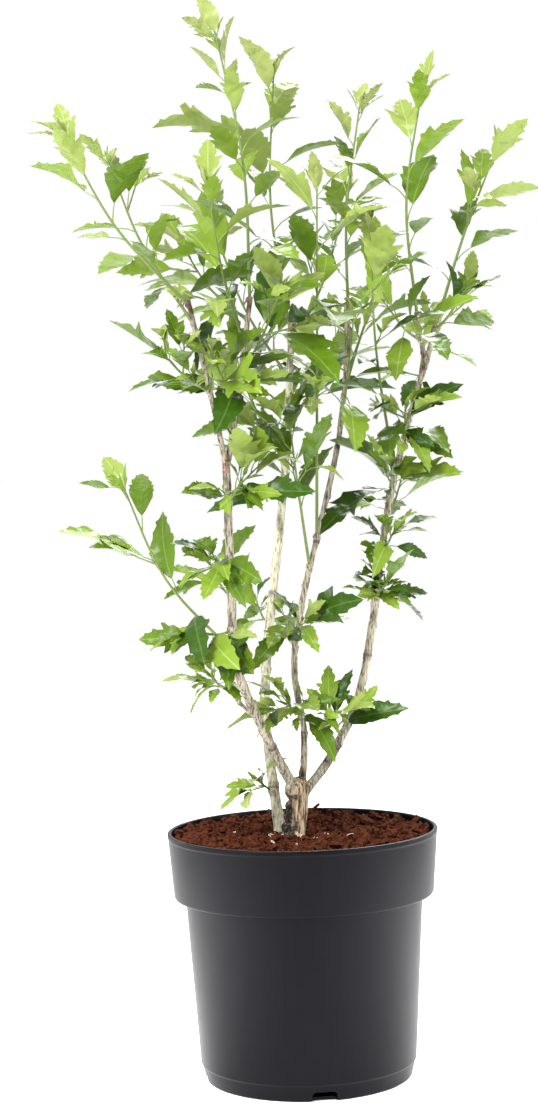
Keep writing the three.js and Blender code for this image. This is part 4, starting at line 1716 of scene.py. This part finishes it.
@dataclass
class Crown:
    """Green stems, twigs and leaves of every shoot, grown by the rule of the solids and carried further."""

    # Keys of the leaves on twigs, on spurs, in the tufts of shoots and in the tufts of twigs
    TWIG_KEYS = 100
    SPUR_KEYS = 300
    TUFT_KEYS = 600
    TWIG_TUFT_KEYS = 700

    # Where a leaf stands: turn from one to the next, stalk, lean off the stem, roll, sag and pitch
    leaf_turn: float = 137.5
    stalk: Pair = (0.2, 0.45)
    spread: Pair = (50.0, 18.0)
    spread_vary: float = 30.0
    roll_vary: float = 74.0
    sag: float = 0.06
    pitch: Pair = (-10.0, 30.0)
    swings: tuple[float, ...] = (0, 32, -32, 64, -64, 100)
    # How a blade bends, folds, ripples, twists and curves aside
    bend: Pair = (0.14, 0.5)
    fold: Pair = (0.14, 0.56)
    wave: float = 6.28
    ripple: Pair = (0.03, 0.11)
    twist: float = 0.8
    sickle: float = 0.3
    # How large it is: less towards the tip, grown on from the leaf of the solids, smaller low down
    shrink: float = 0.42
    size_vary: float = 0.36
    full_size: Pair = (0.8, 1.32)
    breadth: Pair = (0.76, 1.04)
    low_size: float = 0.86
    low_top: float = 350.0
    # How young it is: from the start, along the shoot, high up (where the lighter tones are also painted
    # backlight), by chance, on suckers and low down
    youth_start: float = 0.21
    youth_along: float = 0.4
    youth_and_backlight_high: float = 0.34
    youth_vary: float = 0.54
    youth_sucker: float = 0.45
    youth_low: float = 0.12
    youth_steps: tuple[float, ...] = (0.23, 0.44, 0.65, 0.87)
    high: Pair = (540.0, 840.0)
    sucker_top: float = 290.0
    lobed: Pair = (0.45, 0.85)
    # Room that a leaf of the solids and a finer leaf need, and room that a shoot's stem takes
    clear: float = 6.5
    fine_clear: float = 4.0
    shoot_room: Pair = (2.6, 1.4)
    # Radii of shoots, twigs and stalks
    shoot_radius: Pair = (1.45, 0.65)
    twig_radius: Pair = (0.85, 0.55)
    stalk_radius: Pair = (0.62, 0.42)
    stalk_bow: float = 0.08
    # Side twigs: length, lean, places and size of their leaves, and the last node that may have one
    twig_length: Pair = (0.55, 0.9)
    twig_spread: float = 46.0
    twig_leaves: tuple[float, ...] = (0.5, 1.0)
    twig_blade: float = 0.78
    twig_last: float = 0.72
    # Spurs: length, lean, size of their leaves, and where they are many
    spur_length: Pair = (0.12, 0.34)
    spur_spread: Pair = (34.0, 54.0)
    spur_blade: Pair = (0.36, 0.66)
    spur_start: float = 0.2
    spur_twiggy: float = 0.5
    spur_top: float = 620.0
    back_from: float = 62.0
    back_spurs: float = 0.4
    low_spurs: float = 0.8
    # Tufts, from their lowest leaf to the middle one: lean, size, stalk, fold and bend
    tuft_leaves: int = 4
    tuft_blade: float = 0.52
    twig_tuft_leaves: int = 3
    twig_tuft_blade: float = 0.5
    tuft_lean: Pair = (38.0, 8.0)
    tuft_size: Pair = (0.95, 0.42)
    tuft_stalk: Pair = (0.3, 0.08)
    tuft_fold: Pair = (0.3, 0.75)
    tuft_bend: Pair = (0.2, -0.05)
    # Heights where tufts turn lighter: young tips, and painted backlight towards the top of the crown
    tuft_heights: Pair = (560.0, 690.0)
    tuft_ages: tuple[LeafAge, ...] = (LeafAge.MID, LeafAge.FRESH, LeafAge.LIME)
    # Dullness and sheen of a leaf's upper and under face
    top_gloss: Pair = (0.33, 0.2)
    under_gloss: Pair = (0.6, 0.12)
    stem_finishes: tuple[Plain, ...] = (
        Plain("green_stem_skin", "#5f7032", 0.5),
        Plain("young_stem_skin", "#6e823a", 0.45),
    )
    stalk_finishes: tuple[Plain, ...] = (
        Plain("leaf_stalk_skin", "#6a7f36", 0.5),
        Plain("young_stalk_skin", "#859848", 0.5),
    )
    leaves: list[Leaf] = field(default_factory=list)
    stems: list[Stem] = field(default_factory=list)

    @staticmethod
    def leaning(axis: np.ndarray, azimuth: float, spread: float) -> np.ndarray:
        """Gives a direction that leans off an axis.

        Args:
            axis: Unit axis.
            azimuth: Compass turn that it leans to, in degrees.
            spread: Lean in degrees.

        Returns:
            The unit direction.
        """
        turn, lean = math.radians(azimuth), math.radians(spread)
        outward = square_to(np.array([math.cos(turn), math.sin(turn), 0.0]), axis)
        return outward * math.sin(lean) + axis * math.cos(lean)

    def shoot_line(self, shoot: Shoot, limbs: Mapping[str, Limb]) -> Line:
        """Lays the line of a shoot's stem.

        Args:
            shoot: The shoot.
            limbs: Every limb by name.

        Returns:
            Its line, from the middle of its limb.
        """
        foot = limbs[shoot.limb].line.at(shoot.at)
        tip = np.array(shoot.tip, float)
        return Line([foot, (foot + tip) / 2 + shoot.bow, tip])

    def grow_leaf(self, node: Node, number: int, swing: float) -> Leaf:
        """Grows the leaf of a node.

        Args:
            node: The node.
            number: Number of its shoot.
            swing: Turn round the stem from its own place, in degrees.

        Returns:
            The leaf.
        """

        def draw(purpose: Draw) -> float:
            """Draws the leaf's number for one purpose."""
            return chance(number, node.key, purpose)

        share = node.share
        lean = between(self.spread, share**1.5) + (draw(Draw.LEAN) - 0.5) * self.spread_vary
        aim = unit(self.leaning(node.axis, node.azimuth + swing, lean) - UP * self.sag * (1 - share))
        back = square_to(node.axis + UP, aim)
        back = turned(back, aim, math.radians((draw(Draw.ROLL) - 0.5) * self.roll_vary))
        vary = 1 + self.size_vary * (draw(Draw.SIZE) - 0.5)
        length = node.blade * (1 - self.shrink * share**3) * vary
        pitch = math.radians(between(self.pitch, draw(Draw.PITCH) * (1 - 0.6 * share)))
        lobed = draw(Draw.FORM) < between(self.lobed, self.height_share(node))
        return Leaf(
            foot=node.foot,
            base=node.foot + aim * length * between(self.stalk, draw(Draw.STALK)),
            forward=aim * math.cos(pitch) - back * math.sin(pitch),
            side=np.cross(back, aim),
            face=back * math.cos(pitch) + aim * math.sin(pitch),
            length=length,
            bend=between(self.bend, draw(Draw.BEND)),
            fold=between(self.fold, draw(Draw.FOLD)),
            wave=self.wave * draw(Draw.WAVE),
            ripple=between(self.ripple, draw(Draw.RIPPLE)),
            twist=self.twist * (draw(Draw.TWIST) - 0.5),
            sickle=self.sickle * (draw(Draw.SICKLE) - 0.5),
            breadth=between(self.breadth, draw(Draw.BREADTH)),
            form=LeafForm.LOBED if lobed else LeafForm.OVATE,
            age=self.leaf_age(node, draw(Draw.YOUTH)),
        )

    def height_share(self, node: Node) -> float:
        """Gives how high in the crown a node is, from 0 to 1."""
        low, top = self.high
        return float(np.clip((node.foot[2] - low) / (top - low), 0, 1))

    def leaf_age(self, node: Node, luck: float) -> LeafAge:
        """Gives the age of a node's leaf; the lighter tones dealt high in the crown are partly painted
        backlight.

        Args:
            node: The node.
            luck: The leaf's own number, from 0 to 1.

        Returns:
            The age.
        """
        height = node.foot[2]
        youth = self.youth_start + self.youth_along * node.share**1.5
        # Higher leaves get younger, lighter tones: partly young growth, partly painted backlight
        youth += self.youth_and_backlight_high * self.height_share(node)
        youth += self.youth_vary * (luck - 0.5)
        youth += self.youth_sucker * (height < self.sucker_top)
        youth += self.youth_low * (height < self.low_top)
        return list(LeafAge)[int(np.searchsorted(self.youth_steps, youth))]

    def add_leaf(self, node: Node, number: int, room: Room, clear: float) -> bool:
        """Adds the leaf of a node where it has room, swung round its stem if need be.

        Args:
            node: The node.
            number: Number of its shoot.
            room: Room in the crown.
            clear: Least distance to other shoots.

        Returns:
            Whether the leaf found room.
        """
        for swing in self.swings:
            leaf = self.grow_leaf(node, number, swing)
            if room.add(number, leaf.samples(), clear):
                growth = between(self.full_size, chance(number, node.key, Draw.GROWTH))
                growth *= self.low_size if node.foot[2] < self.low_top else 1
                leaf.length *= growth
                leaf.bend /= growth**1.5
                self.leaves.append(leaf)
                return True
        return False

    def add_side_stem(self, foot: np.ndarray, end: np.ndarray) -> None:
        """Adds the straight young stem of a twig or spur."""
        self.stems.append(Stem(Line([foot, (foot + end) / 2, end]), self.twig_radius, True))

    def add_twig(self, node: Node, number: int, room: Room) -> None:
        """Adds the side twig of a node with its leaves, if it has room.

        Args:
            node: The node.
            number: Number of its shoot.
            room: Room in the crown.
        """
        forward = self.leaning(node.axis, node.azimuth + 24, self.twig_spread)
        reach = node.blade * between(self.twig_length, chance(number, node.key, Draw.TWIG_LENGTH))
        end = node.foot + forward * reach
        steps = math.ceil(reach / 8)
        samples = node.foot + np.outer(np.arange(1, steps + 1) / steps, end - node.foot)
        if not room.add(number, samples, self.clear):
            return
        self.add_side_stem(node.foot, end)
        for j, along in enumerate(self.twig_leaves):
            key = self.TWIG_KEYS + node.key * len(self.twig_leaves) + j
            foot = node.foot + (end - node.foot) * along * 0.96
            azimuth = node.azimuth + 150 * (j + 1)
            bud = Node(key, along, foot, forward, azimuth, node.blade * self.twig_blade)
            self.add_leaf(bud, number, room, self.clear)
        key = self.TWIG_TUFT_KEYS + node.key * 10
        self.add_tuft(end, forward, node.blade * self.twig_tuft_blade, self.twig_tuft_leaves, number, key)

    def add_spur(self, node: Node, number: int, room: Room) -> None:
        """Adds a short spur with two small leaves in the axil of a node, where it has room.

        Args:
            node: The node.
            number: Number of its shoot.
            room: Room in the crown.
        """
        key = self.SPUR_KEYS + node.key * 3
        lean = between(self.spur_spread, chance(number, key, Draw.SPUR_LEAN))
        forward = self.leaning(node.axis, node.azimuth + 12, lean)
        reach = node.blade * between(self.spur_length, chance(number, key, Draw.SPUR_LENGTH))
        end = node.foot + forward * reach
        grown = False
        for j in range(2):
            blade = node.blade * between(self.spur_blade, chance(number, key + j, Draw.SPUR_BLADE))
            azimuth = node.azimuth + 75 + 170 * j
            bud = Node(key + j, 0.45 + 0.4 * j, end, forward, azimuth, blade)
            grown = self.add_leaf(bud, number, room, self.fine_clear) or grown
        if grown:
            self.add_side_stem(node.foot, end)

    def add_tuft(
        self, tip: np.ndarray, axis: np.ndarray, blade: float, count: int, number: int, key: int
    ) -> None:
        """Adds the tuft of young leaves that a growing tip ends in.

        Args:
            tip: The growing tip.
            axis: Direction that it grows in.
            blade: Length of its largest leaf.
            count: How many leaves it has.
            number: Number of the shoot.
            key: Key of its first leaf.
        """
        for i in range(count):
            share = i / max(1, count - 1)
            foot = tip - axis * blade * 0.3 * (1 - share)
            vary = 0.8 + 0.4 * chance(number, key + i, Draw.TUFT_SIZE)
            azimuth = self.leaf_turn * i + 360 * chance(number, key, Draw.TUFT_TURN)
            node = Node(key + i, 0.97, foot, axis, azimuth, blade)
            leaf = self.grow_leaf(node, number, 0.0)
            aim = self.leaning(axis, azimuth, between(self.tuft_lean, share) * vary)
            back = square_to(axis, aim) if share < 0.99 else square_to(UP + aim[::-1], aim)
            length = blade * between(self.tuft_size, share) * vary
            leaf.base = foot + aim * length * between(self.tuft_stalk, share)
            leaf.forward, leaf.face, leaf.side = aim, back, np.cross(back, aim)
            leaf.length = length
            leaf.fold = between(self.tuft_fold, share)
            leaf.bend = between(self.tuft_bend, share)
            leaf.form = LeafForm.NARROW if share > 0.3 else LeafForm.LOBED
            leaf.age = self.tuft_ages[int(np.searchsorted(self.tuft_heights, foot[2]))]
            self.leaves.append(leaf)

    def grow(self) -> None:
        """Grows every shoot: first the leaves and twigs of the solids, then the finer spurs and tufts."""
        limbs = {limb.name: limb for limb in LIMBS}
        lines = [self.shoot_line(shoot, limbs) for shoot in SHOOTS]
        room = Room(LIMBS, lines, self.shoot_room)
        nodes: list[tuple[int, Node]] = []
        for number, (shoot, line) in enumerate(zip(SHOOTS, lines)):
            self.stems.append(Stem(line, self.shoot_radius, shoot.name.startswith("shoot")))
            for k in range(shoot.nodes):
                share = (k + 0.55) / shoot.nodes
                along = shoot.bare + (1 - shoot.bare) * share
                azimuth = shoot.phase + k * self.leaf_turn
                node = Node(k, share, line.at(along), line.tangent(along), azimuth, shoot.blade)
                nodes.append((number, node))
                self.add_leaf(node, number, room, self.clear)
                if share <= self.twig_last and chance(number, k, Draw.TWIG) <= shoot.twiggy:
                    self.add_twig(node, number, room)
        LOG.info("leaves by the rule of the solids: %d", len(self.leaves))
        for number, (shoot, line) in enumerate(zip(SHOOTS, lines)):
            blade = shoot.blade * self.tuft_blade
            tip, axis = line.at(1.0), line.tangent(1.0)
            self.add_tuft(tip, axis, blade, self.tuft_leaves, number, self.TUFT_KEYS)
        for number, node in nodes:
            spurs = self.spur_start + self.spur_twiggy * SHOOTS[number].twiggy
            spurs *= node.foot[2] < self.spur_top
            spurs += self.back_spurs * (node.foot[1] > self.back_from)
            spurs += self.low_spurs * (node.foot[2] < self.low_top)
            if chance(number, node.key, Draw.SPUR) < spurs:
                self.add_spur(node, number, room)
        LOG.info("leaves in all: %d", len(self.leaves))

    def stalk_tube(self, leaf: Leaf, heap: Heap) -> None:
        """Adds a leaf's stalk to a heap, bowed a little from its foot to its blade.

        Args:
            leaf: The leaf.
            heap: Heap that takes it.
        """
        reach = leaf.base - leaf.foot
        length = np.linalg.norm(reach)
        bow = square_to(UP + 0.01 * leaf.side, unit(reach)) * length * self.stalk_bow
        young = leaf.age in (LeafAge.FRESH, LeafAge.LIME)
        size = min(1, 0.45 + leaf.length / 70)
        radii = (self.stalk_radius[0] * size, self.stalk_radius[1] * size)
        line = Line([leaf.foot, leaf.foot + reach * 0.5 + bow, leaf.base + leaf.forward * 0.6])
        heap.add(*line_tube(line, radii, 5, max(2.5, length / 4)), int(young))

    def build(self) -> None:
        """Grows, builds and dresses the crown."""
        self.grow()
        nodes = [shoot.name for shoot in SHOOTS]
        blades = {age: Heap() for age in LeafAge}
        meshes = {form: LeafMesh(form) for form in LeafForm}
        stalks, stems = Heap(), Heap()
        for leaf in self.leaves:
            meshes[leaf.form].add(leaf, blades[leaf.age])
            self.stalk_tube(leaf, stalks)
        for stem in self.stems:
            stems.add(*line_tube(stem.line, stem.radii, 8, 5.0), int(stem.young))
        dress(stems.piece(), "green_stems", self.stem_finishes, nodes)
        dress(stalks.piece(), "leaf_stalks", self.stalk_finishes, nodes)
        for age, heap in blades.items():
            name = age.name.lower()
            top, under, vein = age.value
            skins = [
                LeafSkin(f"{name}_leaf_top", top, vein, LeafMesh.TILE * 0.5, *self.top_gloss),
                LeafSkin(f"{name}_leaf_under", under, vein, LeafMesh.TILE * 1.5, *self.under_gloss),
            ]
            dress(heap.piece(), f"leaves_{name}", skins, nodes)


@dataclass(frozen=True)
class Lamp:
    """A square soft lamp: its place and aim in metres, its width in metres and its power in watts."""

    name: str
    place: Point
    width: float
    power: float
    aim: Point = (0.0, 0.0, 0.5)

    def hang(self) -> None:
        """Hangs the lamp in its place."""
        light = bpy.data.lights.new(self.name, "AREA")
        light.size = self.width
        light.energy = self.power
        obj = bpy.data.objects.new(self.name, light)
        obj.location = self.place
        obj.rotation_euler = (Vector(self.aim) - Vector(self.place)).to_track_quat("-Z", "Y").to_euler()
        bpy.context.scene.collection.objects.link(obj)


@dataclass
class Studio:
    """A pale floor, soft light from all sides, and the camera where the photograph was taken from."""

    floor_size: float = 120.0
    floor_level: float = -0.2
    floor: Plain = Plain("matt_studio_floor", "#ffffff", 1.0)
    surround: str = "#ffffff"
    surround_strength: float = 0.52
    exposure: float = 0.95
    lens: float = 74.93
    camera_place: Point = (0.0, -1948.0, 530.0)
    pitch_down: float = 0.0426
    yaw: float = -0.0110
    roll: float = -0.0294
    lamps: tuple[Lamp, ...] = (
        Lamp("key_light", (-1.3, -1.7, 2.1), 1.0, 62.0),
        Lamp("fill_light", (1.7, -1.2, 1.2), 1.3, 13.0),
        Lamp("back_light", (0.5, 1.9, 1.9), 1.3, 30.0),
        Lamp("left_floor_light", (-0.46, -0.1, 0.26), 0.5, 3.0, (-0.46, -0.1, 0.0)),
        Lamp("right_floor_light", (0.46, -0.1, 0.26), 0.5, 3.0, (0.46, -0.1, 0.0)),
    )

    def build(self) -> None:
        """Sets the floor, the light and the camera."""
        deselect()
        bpy.ops.mesh.primitive_plane_add(size=self.floor_size, location=(0, 0, self.floor_level * MM))
        floor = bpy.context.object
        floor.name = "studio_floor"
        floor.data.materials.append(self.floor.material())
        world = bpy.data.worlds.new("studio_surround")
        world.use_nodes = True
        world.node_tree.nodes["Background"].inputs["Color"].default_value = linear(self.surround)
        world.node_tree.nodes["Background"].inputs["Strength"].default_value = self.surround_strength
        bpy.context.scene.world = world
        for lamp in self.lamps:
            lamp.hang()
        bpy.context.scene.view_settings.view_transform = "Standard"
        bpy.context.scene.view_settings.exposure = self.exposure
        self.place_camera()

    def place_camera(self) -> None:
        """Puts the camera at the photograph's place and angle."""
        level, down = math.cos(self.pitch_down), math.sin(self.pitch_down)
        forward = Vector((math.sin(self.yaw) * level, math.cos(self.yaw) * level, -down))
        right = Vector((math.cos(self.yaw), -math.sin(self.yaw), 0))
        above = right.cross(forward)
        across = right * math.cos(self.roll) + above * math.sin(self.roll)
        upward = above * math.cos(self.roll) - right * math.sin(self.roll)
        camera = bpy.data.objects.new("photo_camera", bpy.data.cameras.new("photo_camera"))
        camera.data.lens = self.lens
        camera.data.clip_end = 200
        axes = Matrix((across, upward, -forward)).transposed()
        camera.matrix_world = Matrix.Translation(Vector(self.camera_place) * MM) @ axes.to_4x4()
        bpy.context.scene.collection.objects.link(camera)
        bpy.context.scene.camera = camera


def main() -> None:
    """Builds the pot, the mulch, the wood, the crown and the studio."""
    logging.basicConfig(level=logging.INFO, format="%(name)s: %(message)s")
    Studio().build()
    NurseryPot().build()
    BarkMulch().build()
    WoodyLimbs().build()
    Crown().build()


if __name__ == "__main__":
    main()
